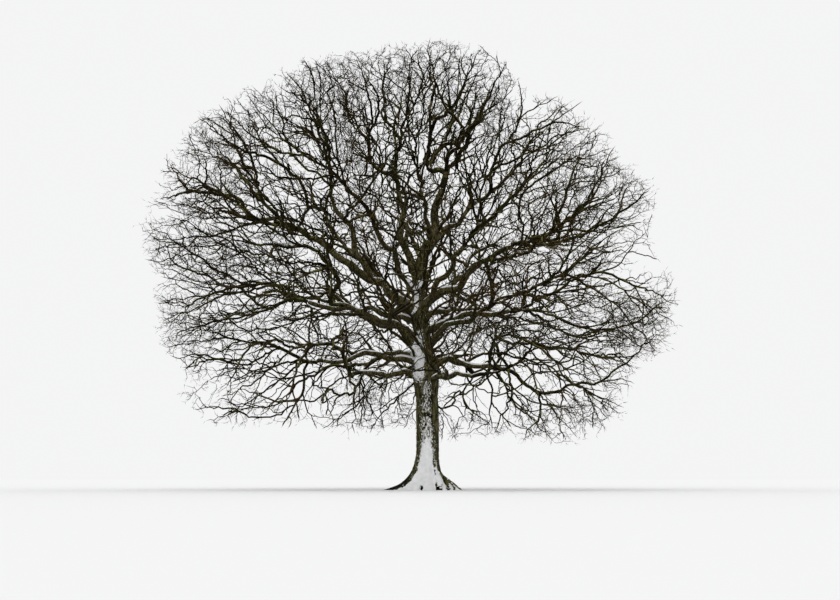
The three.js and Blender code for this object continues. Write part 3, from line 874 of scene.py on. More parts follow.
def frames_along(paths):
    """Two directions across each path at each point, with little twist."""
    along = alongs_of(paths)
    chord = paths[..., -1, :] - paths[..., 0, :]
    upright = np.abs(chord[..., 2:]) > UPRIGHT_SHARE * np.linalg.norm(chord, axis=-1, keepdims=True)
    across = np.cross(chord, np.where(upright, [1.0, 0, 0], [0, 0, 1.0]))[..., None, :]
    side = square_to(across, along)
    return side, np.cross(along, side)


def full_circle(count):
    return 2 * math.pi * np.arange(count) / count


def ways_round(side, up, angles):
    """The ways out from each point of a path, at angles that turn from its side towards its up."""
    return np.cos(angles)[:, None] * side[..., None, :] + np.sin(angles)[:, None] * up[..., None, :]


def bent(points):
    """The points moved a little by smooth bends, which are the same for all that grows in one place, so
    that limbs stay joined while each winds its way."""
    moved = points
    for size, depth in BENDS:
        shifts = [noise(points / size + offset) for offset in BEND_OFFSETS]
        moved = moved + depth * np.stack(shifts, axis=-1)
    return moved


def add_tubes(surface, paths, radii, sides, kinds=0, dappled=False):
    """Adds a batch of tapering tubes, open where they start inside a limb and pointed at their ends."""
    paths = bent(paths)
    count, steps = paths.shape[:2]
    side, up = frames_along(paths)
    angles = full_circle(sides)
    rings = paths[:, :, None] + ways_round(side, up, angles) * radii[:, :, None, None]
    vertices = np.concatenate([rings[:, :-1].reshape(count, -1, 3), paths[:, -1:]], axis=1)
    each = (steps - 1) * sides + 1
    base = np.arange(count)[:, None, None] * each
    j = np.arange(sides)
    following = (j + 1) % sides
    # How far each face looks up, which chooses its painted-light or painted-shade copy.
    middle = angles + math.pi / sides
    upward = np.cos(middle) * side[:, :-1, 2:] + np.sin(middle) * up[:, :-1, 2:]
    kinds = np.broadcast_to(kinds, count)[:, None, None]
    if dappled:
        patches = noise(rings[:, :-1] * DAPPLES)
        patchy = [KINDS["dark_bark"], KINDS["mossy_bark"]]
        kinds = np.select([patches < DARK_BELOW, patches > MOSSY_ABOVE], patchy, kinds)
    # Faces that look up take the painted-light copy of their kind, the others the painted-shade copy.
    material = 2 * kinds + (upward > PAINTED_LIGHT_FACING)
    if steps > 2:
        i = np.arange(steps - 2)[:, None] * sides
        quads = np.stack([i + j, i + following, i + sides + following, i + sides + j], axis=-1).reshape(-1, 4)
        surface.add(None, (base + quads).reshape(-1, 4), material[:, :-1].reshape(-1))
    last = (steps - 2) * sides
    tips = np.stack([last + j, last + following, np.full(sides, each - 1)], axis=-1)
    surface.add(vertices, (base + tips).reshape(-1, 3), material[:, -1].reshape(-1))


def grid_faces(rows, columns, closed):
    """The quads of a grid of rows by columns, which closes on itself if asked."""
    i, j = np.meshgrid(np.arange(rows - 1), np.arange(columns if closed else columns - 1), indexing="ij")
    following = (j + 1) % columns
    low, high = i * columns, (i + 1) * columns
    return np.stack([low + j, low + following, high + following, high + j], axis=-1).reshape(-1, 4)


# Pieces of twigs, each the masses of one part of the crown.
LEFT_HALF = ["left", "back_left", "front_left", "back"]
RIGHT_HALF = ["right", "back_right", "front_right", "front"]
PARTS_OF_CROWN = {
    "low_left": LEFT_HALF,
    "low_right": RIGHT_HALF,
    "mid_left": LEFT_HALF,
    "mid_right": RIGHT_HALF,
    "upper_left": LEFT_HALF,
    "upper_right": ["right", "back_right", "front_right"],
    "high": ["left", "right", "back", "front"],
    "top": ["left", "right"],
}
TWIG_SEED = 41
SPRAY_START = 77.7
SPRAY_LEVELS = (-0.15, 0.2)
OCHRE_SPRAYS = [(2.4, 7.2, 0.7), (5.2, 10.9, 0.9), (-2.0, 9.4, 0.5)]
SNOWY_LIMBS = []


def add_limbs(surface, name, random):
    """Adds a mass's main limbs. Gives the places, directions and widths that twigs may grow from."""
    skeleton, parents = grow_skeleton(name)
    tips = count_tips(parents)
    path, path_radii = BOUGH_TUBES[name]
    first = int(FIRST_SHARE_WITH_TWIGS * len(path))
    grown = [(path[first:], alongs_of(path)[first:], path_radii[first:])]
    if BOUGHS[name][0] == "trunk":
        heights = BOUGHS[name][1] + np.linspace(-TRUNK_LIMB_RANGE, TRUNK_LIMB_RANGE, TRUNK_LIMB_PLACES)
        heights = np.minimum(heights, FORK_HEIGHT)
        toward = np.broadcast_to(alongs_of(path)[0], (TRUNK_LIMB_PLACES, 3))
        starts = trunk_axis(heights) + toward * TRUNK_LIMB_START
        grown.append((starts, toward, np.full(TRUNK_LIMB_PLACES, TRUNK_LIMB_RADIUS)))
    stem, thinnest = path_radii[-1], THINNEST_LIMB[name.split("_")[0]]
    for run in runs_of(parents, tips):
        radii = [max(stem * (tips[i] / tips[0]) ** (1 / PIPE_POWER), thinnest) for i in run]
        if run[0] != 0:
            radii[0] = radii[1]
        radii[-1] = TIP_RADIUS
        carrier = parents[run[0]]
        before = unit(skeleton[run[0]] - skeleton[carrier]) if carrier >= 0 else 0
        places, widths = smooth_run(skeleton[run], np.array(radii), before, SAMPLE_STEP, CROOK, random)
        sides = THIN_LIMB_SIDES
        if widths[0] > THICK_LIMB:
            sides = THICK_LIMB_SIDES
            SNOWY_LIMBS.append((places, widths))
        add_tubes(surface, places[None], widths[None], sides, dappled=True)
        grown.append((places[1:], alongs_of(places)[1:], widths[1:]))
    return tuple(np.concatenate(part) for part in zip(*grown))


def spray_kinds(points):
    """The kind of bark of each twig, dealt out by spray: brown, grey or olive, and ochre in a few."""
    value = noise(points / SPRAY_SIZE + SPRAY_START)
    kinds = KINDS["brown_twig"] + sum((value > level).astype(int) for level in SPRAY_LEVELS)
    for x, height, size in OCHRE_SPRAYS:
        kinds = np.where(np.hypot(points[:, 0] - x, points[:, 2] - height) < size, KINDS["ochre_twig"], kinds)
    return kinds


def add_mass(surface, name, goals):
    """Adds all the limbs and twigs of one mass, from its bough's tip out."""
    random = np.random.default_rng(TWIG_SEED + LIMB_SEEDS[name])
    grown = add_limbs(surface, name, random)
    for order_name, order in ORDERS.items():
        paths, radii, grown = grow_order(goals[order_name][name], grown, order, random)
        kinds = spray_kinds(paths[:, -1])
        add_tubes(surface, paths, radii, order["sides"], kinds)
        spurs = spurs_on(paths, order["spurs"], random)
        spur_radii = np.broadcast_to([SPUR_RADIUS, 0], spurs.shape[:2])
        add_tubes(surface, spurs, spur_radii, SPUR_SIDES, np.repeat(kinds, order["spurs"]))


def make_twigs():
    materials = []
    for name, colour in TWIG_COLOURS.items():
        # Each kind of bark in two copies: one darkened by painted shade, one lightened by painted light.
        materials.append(plain_material(name + "_painted_shade", tuple(PAINTED_UNDERSIDE_SHADE * c for c in colour)))
        materials.append(plain_material(name + "_painted_light", tuple(PAINTED_TOP_LIGHT * c for c in colour)))
    random = np.random.default_rng(TWIG_SEED)
    goals = {name: share_out(crown_points(order, random)) for name, order in ORDERS.items()}
    for part, ways in PARTS_OF_CROWN.items():
        masses = [part.split("_")[0] + "_" + way for way in ways]
        surface = Surface()
        for name in masses:
            add_mass(surface, name, goals)
        piece = surface.piece("twigs_" + part, materials)
        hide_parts(*[name + "_twigs" for name in masses])


# Boughs: smooth crooked tubes with a collar where they leave what carries them, and a few lumps.
BOUGH_STEP = 0.07
BOUGH_SIDES = 16
COLLAR = 0.35
COLLAR_LENGTH = 0.35
BOUGH_LUMPS = [(0.09, (5, 5, 2), 0)]
BARK_SHIFT = 7.3

# Bark: long furrows in a mesh, and short cracks between them.
FURROW_SPACING = 0.062
FURROW_LENGTH = 4.0
FURROW_WIDTH = 0.3
FURROW_BEND = 0.02
FURROW_BEND_DETAIL = 5
FURROW_BEND_STARTS = (3.1, 11.7)
FURROW_ROUNDNESS = 0.7
CRACK_SHARE = 0.5
CRACKS = [(1, (0.6, 0.6, 0.5), 31.3)]
TRUNK_FURROW = 0.026
BOUGH_FURROW = 0.012
BOUGH_FURROW_WIDTH = 0.15


def bough_tube(name):
    """A bough's path in short steps, from inside what carries it to its tip, and its radii."""
    path, radii = LIMBS[name]
    random = np.random.default_rng(LIMB_SEEDS[name])
    places, widths = smooth_run(path, radii, 0, BOUGH_STEP, 0, random)
    parent, share = BOUGHS[name][:2]
    inside = trunk_radius(share) if parent == "trunk" else point_at(LIMBS[parent][1], share)
    gone = np.concatenate([[0], np.cumsum(np.linalg.norm(np.diff(places, axis=0), axis=1))])
    return places, widths * (1 + COLLAR * np.exp(-np.maximum(gone - inside, 0) / COLLAR_LENGTH))


BOUGH_TUBES = {name: bough_tube(name) for name in BOUGHS}


def furrow_depth(local):
    """How deep the bark is furrowed, 0 on its ridges and 1 in its furrows, where the third of the
    coordinates runs along the limb."""
    bend = [noise(local * FURROW_BEND_DETAIL + start) for start in FURROW_BEND_STARTS] + [0 * local[..., 0]]
    spots = (local + FURROW_BEND * np.stack(bend, axis=-1)) / FURROW_SPACING
    long = np.abs(noise(spots * [1, 1, 1 / FURROW_LENGTH]))
    cracks = np.abs(layered(spots, CRACKS))
    depth = np.maximum(1 - long / FURROW_WIDTH, CRACK_SHARE * (1 - cracks / (FURROW_WIDTH / 2)))
    return np.clip(depth, 0, 1) ** FURROW_ROUNDNESS


def around(angle):
    return np.stack([np.cos(angle), np.sin(angle)], axis=-1)


def make_boughs(material):
    surface = Surface()
    for name, (places, widths) in BOUGH_TUBES.items():
        places = bent(places)
        side, up = frames_along(places[None])
        angles = full_circle(BOUGH_SIDES)
        way = ways_round(side[0], up[0], angles)
        gone = np.arange(len(places)) * BOUGH_STEP
        local = np.empty((len(places), BOUGH_SIDES, 3))
        local[..., :2] = around(angles)[None] * widths[:, None, None]
        local[..., 2] = gone[:, None] + BARK_SHIFT * LIMB_SEEDS[name]
        lumps = layered(local, BOUGH_LUMPS) * widths[:, None]
        furrows = BOUGH_FURROW * furrow_depth(local) * (widths[:, None] / BOUGH_FURROW_WIDTH)
        radius = widths[:, None] + lumps - furrows
        points = places[:, None] + way * radius[..., None]
        points[-1] = places[-1]
        surface.add(points, grid_faces(len(places), BOUGH_SIDES, True))
    piece = surface.piece("boughs", [material])
    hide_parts(*[name + "_bough" for name in BOUGHS])


# Trunk: a fine grid of columns round it and rows up it, closer at the foot, with a dome on top. Flutes
# run between its roots and fade upward, with ridges on its foot and lumps all over.
TRUNK_COLUMNS = 168
TRUNK_FOOT_ROWS, TRUNK_ROWS = 46, 200
TRUNK_FOOT_TOP = 1.1
DOME_ROWS = 7
DOME_HEIGHT = 0.25
FLUTE_DEPTH, FLUTE_LEVEL, FLUTE_FADE = 0.14, 0.55, 1.5
FOOT_RIDGES, FOOT_RIDGE_FADE = [(0.13, (4.5, 4.5, 1.2), 5.5)], 0.45
TRUNK_LUMPS = [(0.03, (1.6, 1.6, 1.4), 2.5), (0.014, (4, 4, 3.5), 9.5)]
VIEWER = 270
# Painted shade: the near-black colour put inside the deepest marks.
PAINTED_HOLLOW_SHADE = (0.006, 0.005, 0.002)
# The long root on the right: how far it stands out there, and its azimuth, height and half sizes.
RIGHT_ROOT = {"bulge": 0.27, "place": (350, 0.3, 13, 0.32)}


def mark_shape(azimuth, height, middle, up, half_width, half_height):
    """1 in the middle of a mark on the trunk, and towards 0 away from it."""
    off = degrees_off(azimuth, middle)
    return np.exp(-((off / half_width) ** 2) - ((height - up) / half_height) ** 2)


def trunk_surface(azimuth, height):
    """The trunk's radius without the bark's furrows: the solid's, with its flutes, ridges and lumps."""
    reach = root_reach(azimuth)
    radius = trunk_radius(height) + reach * np.exp(-height / ROOT_FADE_HEIGHT)
    turned = around(np.radians(azimuth))
    spots = np.concatenate([turned, np.broadcast_to(height, azimuth.shape)[..., None]], axis=-1)
    flutes = FLUTE_DEPTH * (reach / ROOT_REACH - FLUTE_LEVEL) * np.exp(-height / FLUTE_FADE)
    ridges = layered(spots, FOOT_RIDGES) * np.exp(-height / FOOT_RIDGE_FADE)
    root = RIGHT_ROOT["bulge"] * mark_shape(azimuth, height, *RIGHT_ROOT["place"])
    return radius + flutes + ridges + layered(spots, TRUNK_LUMPS) + root


# Marks in the trunk's bark, the scar of a lost bough and the hollows of the foot among them: azimuth,
# height, half width in degrees, half height and depth. The deepest get a near-black painted shade inside.
TRUNK_MARKS = [
    (262, 3.24, 15, 0.035, 0.12),
    (287, 3.17, 15, 0.035, 0.12),
    (287, 2.9, 5, 0.06, 0.03),
    (262, 0.0, 5, 0.16, 0.3),
    (300, 0.02, 7, 0.22, 0.35),
    (292, 0.75, 3, 0.42, 0.05),
    (247, 5.4, 8, 0.1, 0.03),
]
# How deep a mark must be for its faces to get the painted shade.
PAINTED_SHADE_MARK = 0.055


def trunk_marks(azimuth, height):
    return sum(mark[4] * mark_shape(azimuth, height, *mark[:4]) for mark in TRUNK_MARKS)


def trunk_points(azimuth, height, radius):
    axis = trunk_axis(np.broadcast_to(height, azimuth.shape))
    axis[..., :2] += around(np.radians(azimuth)) * radius[..., None]
    return axis


def make_trunk(material):
    foot = TRUNK_FOOT_TOP * np.arange(TRUNK_FOOT_ROWS) / TRUNK_FOOT_ROWS
    rows = np.concatenate([foot, np.linspace(TRUNK_FOOT_TOP, FORK_HEIGHT, TRUNK_ROWS)])[:, None]
    azimuth = np.broadcast_to(360 * np.arange(TRUNK_COLUMNS) / TRUNK_COLUMNS, (len(rows), TRUNK_COLUMNS))
    surface_radius = trunk_surface(azimuth, rows)
    local = np.concatenate([
        around(np.radians(azimuth)) * trunk_radius(rows)[..., None],
        np.broadcast_to(rows, azimuth.shape)[..., None],
    ], axis=-1)
    marks = trunk_marks(azimuth, rows)
    radius = surface_radius - TRUNK_FURROW * furrow_depth(local) - marks
    points = trunk_points(azimuth, rows, radius)
    top = points[-1:].mean(axis=1, keepdims=True)
    share = (np.arange(1, DOME_ROWS) / DOME_ROWS)[:, None, None]
    rise = np.array([0, 0, DOME_HEIGHT])
    dome = top + (points[-1:] - top) * np.sqrt(1 - share**2) + share * rise
    cap = np.broadcast_to(top + rise, (1, TRUNK_COLUMNS, 3))
    floor = np.broadcast_to([0.0, 0, 0], (1, TRUNK_COLUMNS, 3))
    points = np.concatenate([floor, points, dome, cap])
    faces = grid_faces(len(points), TRUNK_COLUMNS, True)
    depths = np.zeros(points.shape[:2])
    depths[1:len(rows) + 1] = marks
    surface = Surface()
    # Faces of the deepest marks take the near-black painted shade, the rest the bark.
    surface.add(points, faces, (depths.reshape(-1)[faces].max(axis=1) > PAINTED_SHADE_MARK).astype(int))
    piece = surface.piece("trunk_bark", [material, plain_material("painted_hollow_shade", PAINTED_HOLLOW_SHADE)])
    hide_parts("trunk")


# Snow that the wind has plastered on the viewer's side of the trunk. Each strip has the width over
# which it thins out at its sides and then, from the ground up, the height, its left and right edge,
# how much of the bark it hides and how thick it lies.
SNOW_STRIPS = {
    "foot": (0.2, [
        (0.0, -1.35, 1.9, 1.6, 0.05), (0.09, -1.2, 1.8, 1.6, 0.045), (0.22, -0.96, 1.6, 1.6, 0.045),
        (0.44, -0.6, 1.3, 1.5, 0.04), (0.82, -0.27, 0.42, 1.4, 0.035), (1.1, -0.18, 0.27, 1.3, 0.03),
        (1.3, -0.13, 0.24, 1.3, 0.025), (1.7, -0.08, 0.21, 1.2, 0.02), (2.0, -0.02, 0.18, 1.1, 0.012),
        (2.25, 0.04, 0.13, 0.8, 0.006),
    ]),
    "strip": (0.2, [
        (0.5, -0.5, 0.8, 0.5, 0.004), (0.8, -0.34, 0.54, 0.5, 0.004), (1.1, -0.22, 0.42, 0.54, 0.004),
        (1.7, -0.14, 0.32, 0.6, 0.004),
        (2.3, -0.1, 0.26, 0.7, 0.004), (3.1, -0.06, 0.2, 0.66, 0.004), (3.95, -0.02, 0.16, 0.62, 0.004),
        (4.7, -0.06, 0.12, 0.56, 0.004),
    ]),
    "patch": (0.12, [
        (4.61, -0.34, -0.2, 0.3, 0.01), (4.8, -0.42, -0.12, 0.75, 0.015), (5.0, -0.47, -0.08, 0.95, 0.02),
        (5.3, -0.4, -0.06, 0.96, 0.025),
        (6.0, -0.6, -0.06, 1.0, 0.025), (6.4, -0.46, -0.06, 0.95, 0.025), (6.7, -0.34, -0.08, 0.8, 0.02),
        (7.0, -0.28, -0.12, 0.5, 0.01),
    ]),
    "fork": (0.04, [
        (7.66, -0.62, -0.52, 0.8, 0.02), (7.8, -0.5, -0.38, 0.9, 0.02), (7.94, -0.44, -0.32, 1.0, 0.02),
        (8.6, -0.45, -0.29, 1.2, 0.025), (8.73, -0.54, -0.25, 1.3, 0.03), (8.9, -0.6, -0.2, 1.3, 0.03),
    ]),
    "left_arm": (0.03, [
        (8.82, -0.62, -0.48, 1.3, 0.03), (9.0, -0.72, -0.6, 1.3, 0.025), (9.14, -0.88, -0.7, 1.1, 0.02),
    ]),
    "right_arm": (0.03, [
        (8.82, -0.36, -0.22, 1.3, 0.03), (9.0, -0.3, -0.12, 1.3, 0.025), (9.2, -0.26, -0.02, 1.1, 0.02),
    ]),
}
# Where the bark shows through it: both ends of each gap, as x and height, and its half width. They are
# the scar and the crease of the trunk, the hollows of its foot, and the backs of its roots.
SNOW_GAPS = [
    (-0.07, 3.24, 0.13, 3.25, 0.06), (0.13, 3.25, 0.36, 3.12, 0.05),
    (0.37, 1.2, 0.4, 0.98, 0.0), (0.41, 0.84, 0.43, 0.68, 0.004), (0.44, 0.5, 0.46, 0.4, 0.0),
    (-0.15, 0.14, -0.15, -0.1, 0.05),
    (0.5, 0.25, 0.53, 0.02, 0.055), (0.53, 0.02, 0.74, 0.03, 0.045), (0.74, 0.22, 0.76, 0.03, 0.025),
    (0.61, 0.13, 0.64, 0.1, 0.035),
    (0.54, 1.5, 0.72, 0.7, 0.08), (0.72, 0.7, 0.93, 0.3, 0.075), (0.93, 0.3, 1.04, -0.1, 0.07),
    (0.78, 0.74, 1.12, 0.42, 0.035), (1.12, 0.42, 1.34, 0.2, 0.035), (1.34, 0.2, 1.6, -0.05, 0.035),
    (1.02, 0.42, 1.24, 0.11, 0.025), (1.24, 0.11, 1.3, -0.1, 0.025),
    (-0.46, 0.9, -0.72, 0.5, 0.12), (-0.72, 0.5, -0.98, 0.26, 0.13), (-0.98, 0.26, -1.4, 0.07, 0.08),
    (-0.62, 0.42, -1.2, 0.05, 0.02),
]
# How softly and raggedly the gaps end, how the snow's edges wander, how it breaks up into specks, and
# the grid that it is made on.
GAP_SOFTNESS = 0.05
GAP_RAGGEDNESS = [(0.02, 16, 6.5)]
SNOW_HIDDEN = -0.06
SNOW_SHOWN = 0.02
MEANDER_DEPTH = 0.05
MEANDER = [(MEANDER_DEPTH, (7, 7, 2.2), 1.5)]
SNOW_SPECKS = [(0.6, (58, 58, 14), 8.5), (0.4, (95, 95, 36), 4.5)]
SPECKLED_COVER, SPECK_STRENGTH = 0.5, 0.95
SNOW_GRAIN = [(0.004, (14, 14, 5), 8.5)]
SNOW_FIRMNESS = 0.12
THIN_SNOW_COVER = 0.8
SNOW_COLUMNS = 170
SNOW_ROWS = 250
SNOW_TOP = 4.7
SNOW_LEAST_FACING = 0.07


def snow_level(points):
    """How far the snow stands out of the plain surface, well below it where there is none, and how much
    of the bark it hides. It breaks up into specks where it hides less than all."""
    x, height = points[..., 0], points[..., 2]
    cover, thick = np.zeros(x.shape), np.zeros(x.shape)
    meander = layered(points, MEANDER)
    for edge, rows in SNOW_STRIPS.values():
        heights, *rest = (np.array(part) for part in zip(*rows))
        left, right, hides, lies = (np.interp(height, heights, part) for part in rest)
        inside = np.minimum(x - left, right - x) + meander * min(1, edge / MEANDER_DEPTH / 2)
        here = hides * np.clip(1 + inside / edge, 0, 1) * ((height >= heights[0]) & (height <= heights[-1]))
        thick = np.where(here > cover, lies, thick)
        cover = np.maximum(cover, here)
    ragged = layered(points, GAP_RAGGEDNESS)
    for start_x, start_height, end_x, end_height, half_width in SNOW_GAPS:
        off = from_stretch(points[..., [0, 2]], (start_x, start_height), (end_x, end_height)) + ragged
        cover = cover * np.clip((off - half_width) / GAP_SOFTNESS, 0, 1)
    specks = SPECK_STRENGTH * layered(points, SNOW_SPECKS)
    firm = np.clip((cover - SPECKLED_COVER - specks) / SNOW_FIRMNESS, 0, 1)
    return SNOW_HIDDEN + (thick + layered(points, SNOW_GRAIN) - SNOW_HIDDEN) * firm, cover


def add_snow(surface, points, level, cover, faces):
    """Adds the faces where snow stands out, in the kind that its cover gives."""
    faces = faces[np.max(level.reshape(-1)[faces], axis=1) > SNOW_HIDDEN + SNOW_SHOWN]
    thin = np.max(cover.reshape(-1)[faces], axis=1) < THIN_SNOW_COVER
    surface.add(points, faces, thin.astype(int))


def make_trunk_snow(surface):
    """The snow on the trunk's round, from the ground to the lowest boughs."""
    rows = np.linspace(0, SNOW_TOP, SNOW_ROWS)[:, None]
    columns = np.linspace(VIEWER - 90, VIEWER + 90, SNOW_COLUMNS)
    azimuth = np.broadcast_to(columns, (SNOW_ROWS, SNOW_COLUMNS))
    radius = trunk_surface(azimuth, rows)
    level, cover = snow_level(trunk_points(azimuth, rows, radius))
    facing = np.cos(np.radians(azimuth - VIEWER))
    level = np.where(facing > SNOW_LEAST_FACING, level, SNOW_HIDDEN)
    points = trunk_points(azimuth, rows, radius + level)
    add_snow(surface, points, level, cover, grid_faces(SNOW_ROWS, SNOW_COLUMNS, False))


# Snow among the lowest boughs and in the fork: it lies on the front of whatever stands there.
CROTCH_X = (-1.0, 0.15)
CROTCH_HEIGHTS = (SNOW_TOP - 0.1, 9.3)
CROTCH_COLUMNS, CROTCH_ROWS = 96, 230
CROTCH_STEEPEST = 0.16


def front_of(x, height):
    """How far towards the viewer the trunk or a bough stands at each place, or nothing where none does."""
    round_x = x - trunk_axis(height)[..., 0]
    azimuth = VIEWER + np.degrees(np.arcsin(np.clip(round_x / trunk_radius(height), -1, 1)))
    within = trunk_surface(azimuth, height) ** 2 - round_x**2
    front = np.where((within > 0) & (height < FORK_HEIGHT), -np.sqrt(np.maximum(within, 0)), np.inf)
    for places, widths in BOUGH_TUBES.values():
        for place, width in zip(bent(places), widths):
            if CROTCH_X[0] < place[0] < CROTCH_X[1]:
                within = width**2 - (x - place[0]) ** 2 - (height - place[2]) ** 2
                nearer = np.minimum(front, place[1] - np.sqrt(np.maximum(within, 0)))
                front = np.where(within > 0, nearer, front)
    return front


def make_crotch_snow(surface):
    x, height = np.meshgrid(np.linspace(*CROTCH_X, CROTCH_COLUMNS), np.linspace(*CROTCH_HEIGHTS, CROTCH_ROWS))
    front = front_of(x, height)
    solid = np.isfinite(front)
    front = np.where(solid, front, 0)
    level, cover = snow_level(np.stack([x, front, height], axis=-1))
    level = np.where(solid, level, SNOW_HIDDEN)
    faces = grid_faces(CROTCH_ROWS, CROTCH_COLUMNS, False)
    fronts = front.reshape(-1)[faces]
    whole = solid.reshape(-1)[faces].all(axis=1) & (np.ptp(fronts, axis=1) < CROTCH_STEEPEST)
    points = np.stack([x, front - level, height], axis=-1)
    add_snow(surface, points, level, cover, faces[whole])


# Snow in lines on the tops of the boughs and of the limbs near the trunk: how thick and wide it lies, the
# way that it faces, how round it is, where patches of it fail, and how little stays where it is steep.
LIMB_SNOW_THICKNESS = 0.037
LIMB_SNOW_FULL_WIDTH = 0.1
LIMB_SNOW_SPREAD = 30
LIMB_SNOW_COLUMNS = 7
LIMB_SNOW_REACH = 7.0
LIMB_SNOW_SINK = -0.012
LIMB_SNOW_FACING = (0, -0.45, 0.9)
LIMB_SNOW_CROWN, LIMB_SNOW_ROUND = 1.2, 0.46
LIMB_SNOW_PATCHES, LIMB_SNOW_PATCH_SIZE = 0.8, 3
LIMB_SNOW_STEEPEST = 0.9
LIMB_SNOW_ON_STEEP = 0.3
LIMB_SNOW_SLIDE = 0.02


def add_limb_snow(surface, places, widths, seed):
    """Adds the snow on one limb, thinner the further it lies from the trunk and the steeper it is."""
    along = alongs_of(places)
    top = square_to(unit(np.array(LIMB_SNOW_FACING)), along)
    across = np.linspace(-1, 1, LIMB_SNOW_COLUMNS)
    way = ways_round(top, np.cross(along, top), np.radians(LIMB_SNOW_SPREAD * across))
    spots = places[:, None] + way * widths[:, None, None]
    near = np.hypot(places[:, :1], places[:, 1:2]) / LIMB_SNOW_REACH
    patches = LIMB_SNOW_PATCHES * noise(spots * LIMB_SNOW_PATCH_SIZE + seed)
    level = LIMB_SNOW_CROWN * np.cos(LIMB_SNOW_ROUND * math.pi * across)[None] - near**2 + patches
    flat = np.clip(1 - np.abs(along[:, 2:]) / LIMB_SNOW_STEEPEST, 0, 1)
    thickness = LIMB_SNOW_THICKNESS * np.minimum(widths[:, None] / LIMB_SNOW_FULL_WIDTH, 1)
    level = level * thickness * (LIMB_SNOW_ON_STEEP + (1 - LIMB_SNOW_ON_STEEP) * flat)
    level = LIMB_SNOW_SINK + level - LIMB_SNOW_SLIDE * (1 - flat)
    points = places[:, None] + way * (widths[:, None] + level)[..., None]
    faces = grid_faces(len(places), LIMB_SNOW_COLUMNS, False)
    kept = np.max(level.reshape(-1)[faces], axis=1) > LIMB_SNOW_SINK
    if np.any(kept):
        surface.add(points, faces[kept])


def make_limb_snow(surface):
    for name, (places, widths) in BOUGH_TUBES.items():
        add_limb_snow(surface, bent(places), widths, LIMB_SEEDS[name])
    for i, (places, widths) in enumerate(SNOWY_LIMBS):
        add_limb_snow(surface, bent(places), widths, i)


# Materials of bark and snow, from noise in the object's own coordinates. How much the bark's grain is
# stretched upwards, how many features of each noise there are to the metre, how much paler and darker
# than their colours ridges and algae get, how much painted shade faces that look down get and how much
# painted light faces that look up get, and where the painted shade on the trunk's left ends towards its
# middle and towards its back.
GRAIN_STRETCH = 0.25
GRAIN_DETAIL, ALGAE_DETAIL = 11, 1.6
BUMP_DISTANCE = 0.01
BUMP_DETAIL = {"bark": 90, "snow": 60}
PALEST_BARK, DARKEST_ALGAE = 2.4, 0.25
# Painted light and shade by facing: normals from the first to the second height scale the colour from the
# first to the second factor.
LOOKS_UP, PAINTED_LIGHT_RANGE = (-0.7, 0.8), (0.5, 1.7)
# Painted shade on the trunk's left, in front: where it fades out across x and towards the back.
PAINTED_SHADE_X, PAINTED_SHADE_Y = (-0.8, -0.5), (0.05, 0.5)


def new_nodes(name):
    """A material, its shader and a way to add nodes that are joined to it."""
    material = bpy.data.materials.new(name)
    material.use_nodes = True
    tree = material.node_tree

    def add(kind, inputs=None, **settings):
        node = tree.nodes.new(kind)
        for setting, value in settings.items():
            setattr(node, setting, value)
        for key, value in (inputs or {}).items():
            if isinstance(value, bpy.types.NodeSocket):
                tree.links.new(value, node.inputs[key])
            else:
                node.inputs[key].default_value = value
        return node

    return material, tree.nodes["Principled BSDF"], add, tree.links.new


def ramp(add, factor, stops):
    node = add("ShaderNodeValToRGB", {"Fac": factor})
    elements = node.color_ramp.elements
    while len(elements) < len(stops):
        elements.new(0.5)
    for element, (position, colour) in zip(elements, stops):
        element.position = position
        element.color = (*colour, 1)
    return node.outputs["Color"]


def cloud(add, place, scale, detail, roughness=0.5):
    inputs = {"Vector": place, "Scale": scale, "Detail": detail, "Roughness": roughness}
    return add("ShaderNodeTexNoise", inputs).outputs["Fac"]


def between(add, value, given, wanted):
    """The value moved from the given range to the wanted one, and kept within it."""
    inputs = dict(zip(("From Min", "From Max", "To Min", "To Max"), (*given, *wanted)))
    return add("ShaderNodeMapRange", {"Value": value, **inputs}).outputs["Result"]


def times(add, colour, factor):
    return add("ShaderNodeVectorMath", {0: colour, "Scale": factor}, operation="SCALE").outputs["Vector"]


def bump(add, height, strength):
    inputs = {"Height": height, "Strength": strength, "Distance": BUMP_DISTANCE}
    return add("ShaderNodeBump", inputs).outputs["Normal"]


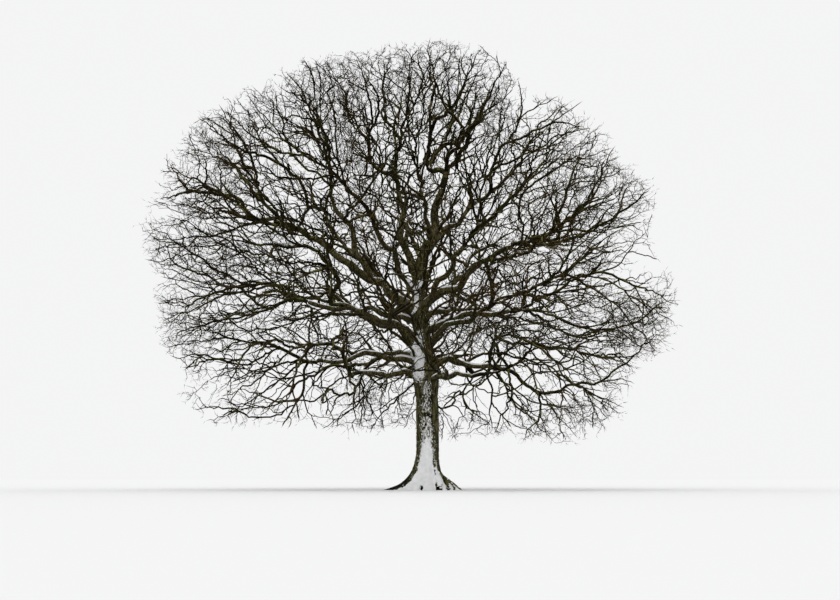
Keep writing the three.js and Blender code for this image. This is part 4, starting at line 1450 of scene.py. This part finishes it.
def bark_material(name, scale, furrow, ridge, algae, algae_amount, painted_shade_left=1):
    """Bark with dark furrows, paler ridges, green algae in patches and a fine grain, lightened by painted
    light on faces that look up and darkened by painted shade on faces that look down. The last argument,
    below 1, darkens it by that factor with painted shade on the trunk's left, in front."""
    material, shader, add, link = new_nodes(name)
    place = add("ShaderNodeTexCoord").outputs["Object"]
    stretched = add("ShaderNodeMapping", {"Vector": place, "Scale": (1, 1, GRAIN_STRETCH)}).outputs["Vector"]
    grain = cloud(add, stretched, GRAIN_DETAIL * scale, 6, 0.7)
    bark = ramp(add, grain, [(0.42, furrow), (0.5, ridge), (0.6, tuple(PALEST_BARK * c for c in ridge))])
    patches = cloud(add, place, ALGAE_DETAIL * scale, 5, 0.7)
    amount = ramp(add, patches, [(0.42, (0, 0, 0)), (0.6, (algae_amount,) * 3)])
    mixed = add("ShaderNodeMix", {"Factor": amount}, data_type="RGBA")
    link(bark, mixed.inputs["A"])
    shade = ramp(add, grain, [(0.36, tuple(DARKEST_ALGAE * c for c in algae)), (0.62, algae)])
    link(shade, mixed.inputs["B"])
    # Painted light and shade: faces that look up are lightened and faces that look down are darkened.
    normal = add("ShaderNodeNewGeometry").outputs["Normal"]
    upward = add("ShaderNodeSeparateXYZ", {"Vector": normal}).outputs["Z"]
    painted_light_colour = times(add, mixed.outputs["Result"], between(add, upward, LOOKS_UP, PAINTED_LIGHT_RANGE))
    # Painted shade on the trunk's left, in front, by the last argument's factor.
    parted = add("ShaderNodeSeparateXYZ", {"Vector": place})
    left = between(add, parted.outputs["X"], PAINTED_SHADE_X, (painted_shade_left, 1))
    painted_shade_factor = between(add, parted.outputs["Y"], PAINTED_SHADE_Y, (left, 1))
    link(times(add, painted_light_colour, painted_shade_factor), shader.inputs["Base Color"])
    link(bump(add, cloud(add, stretched, BUMP_DETAIL["bark"] * scale, 4), 0.5), shader.inputs["Normal"])
    rough = ramp(add, grain, [(0.3, (0.95,) * 3), (0.8, (0.75,) * 3)])
    link(rough, shader.inputs["Roughness"])
    shader.inputs["Specular IOR Level"].default_value = 0.06
    return material


def snow_material(name, scale, hollow, bright):
    """Wind-packed snow: bright, soft, with faint hollows."""
    material, shader, add, link = new_nodes(name)
    place = add("ShaderNodeTexCoord").outputs["Object"]
    colour = ramp(add, cloud(add, place, scale, 5, 0.55), [(0.3, hollow), (0.6, bright)])
    link(colour, shader.inputs["Base Color"])
    link(bump(add, cloud(add, place, BUMP_DETAIL["snow"], 5), 0.35), shader.inputs["Normal"])
    shader.inputs["Roughness"].default_value = 0.85
    shader.inputs["Specular IOR Level"].default_value = 0.25
    return material


# Kinds of snow: features to the metre, the colour of its hollows and its bright colour.
PACKED_SNOW = (5, (0.78, 0.785, 0.79), (0.9, 0.9, 0.9))
THIN_SNOW = (12, (0.5, 0.495, 0.48), (0.88, 0.875, 0.86))


def make_snow():
    packed = snow_material("packed_snow", *PACKED_SNOW)
    thin = snow_material("thin_snow", *THIN_SNOW)
    surface = Surface()
    make_trunk_snow(surface)
    make_crotch_snow(surface)
    surface.piece("snow_on_trunk", [packed, thin])
    surface = Surface()
    make_limb_snow(surface)
    surface.piece("snow_on_boughs", [packed])


# The bark's furrows, its ridges and its algae.
TRUNK_COLOURS = ((0.005, 0.004, 0.0015), (0.052, 0.046, 0.022), (0.055, 0.061, 0.016))
BOUGH_COLOURS = ((0.006, 0.005, 0.0015), (0.06, 0.05, 0.024), (0.058, 0.058, 0.014))

make_camera()
make_stage()
# The trunk's bark gets strong painted shade on its left, in front.
make_trunk(bark_material("trunk_bark", 1.0, *TRUNK_COLOURS, 0.6, painted_shade_left=0.12))
make_boughs(bark_material("bough_bark", 1.6, *BOUGH_COLOURS, 0.5))
make_twigs()
make_snow()
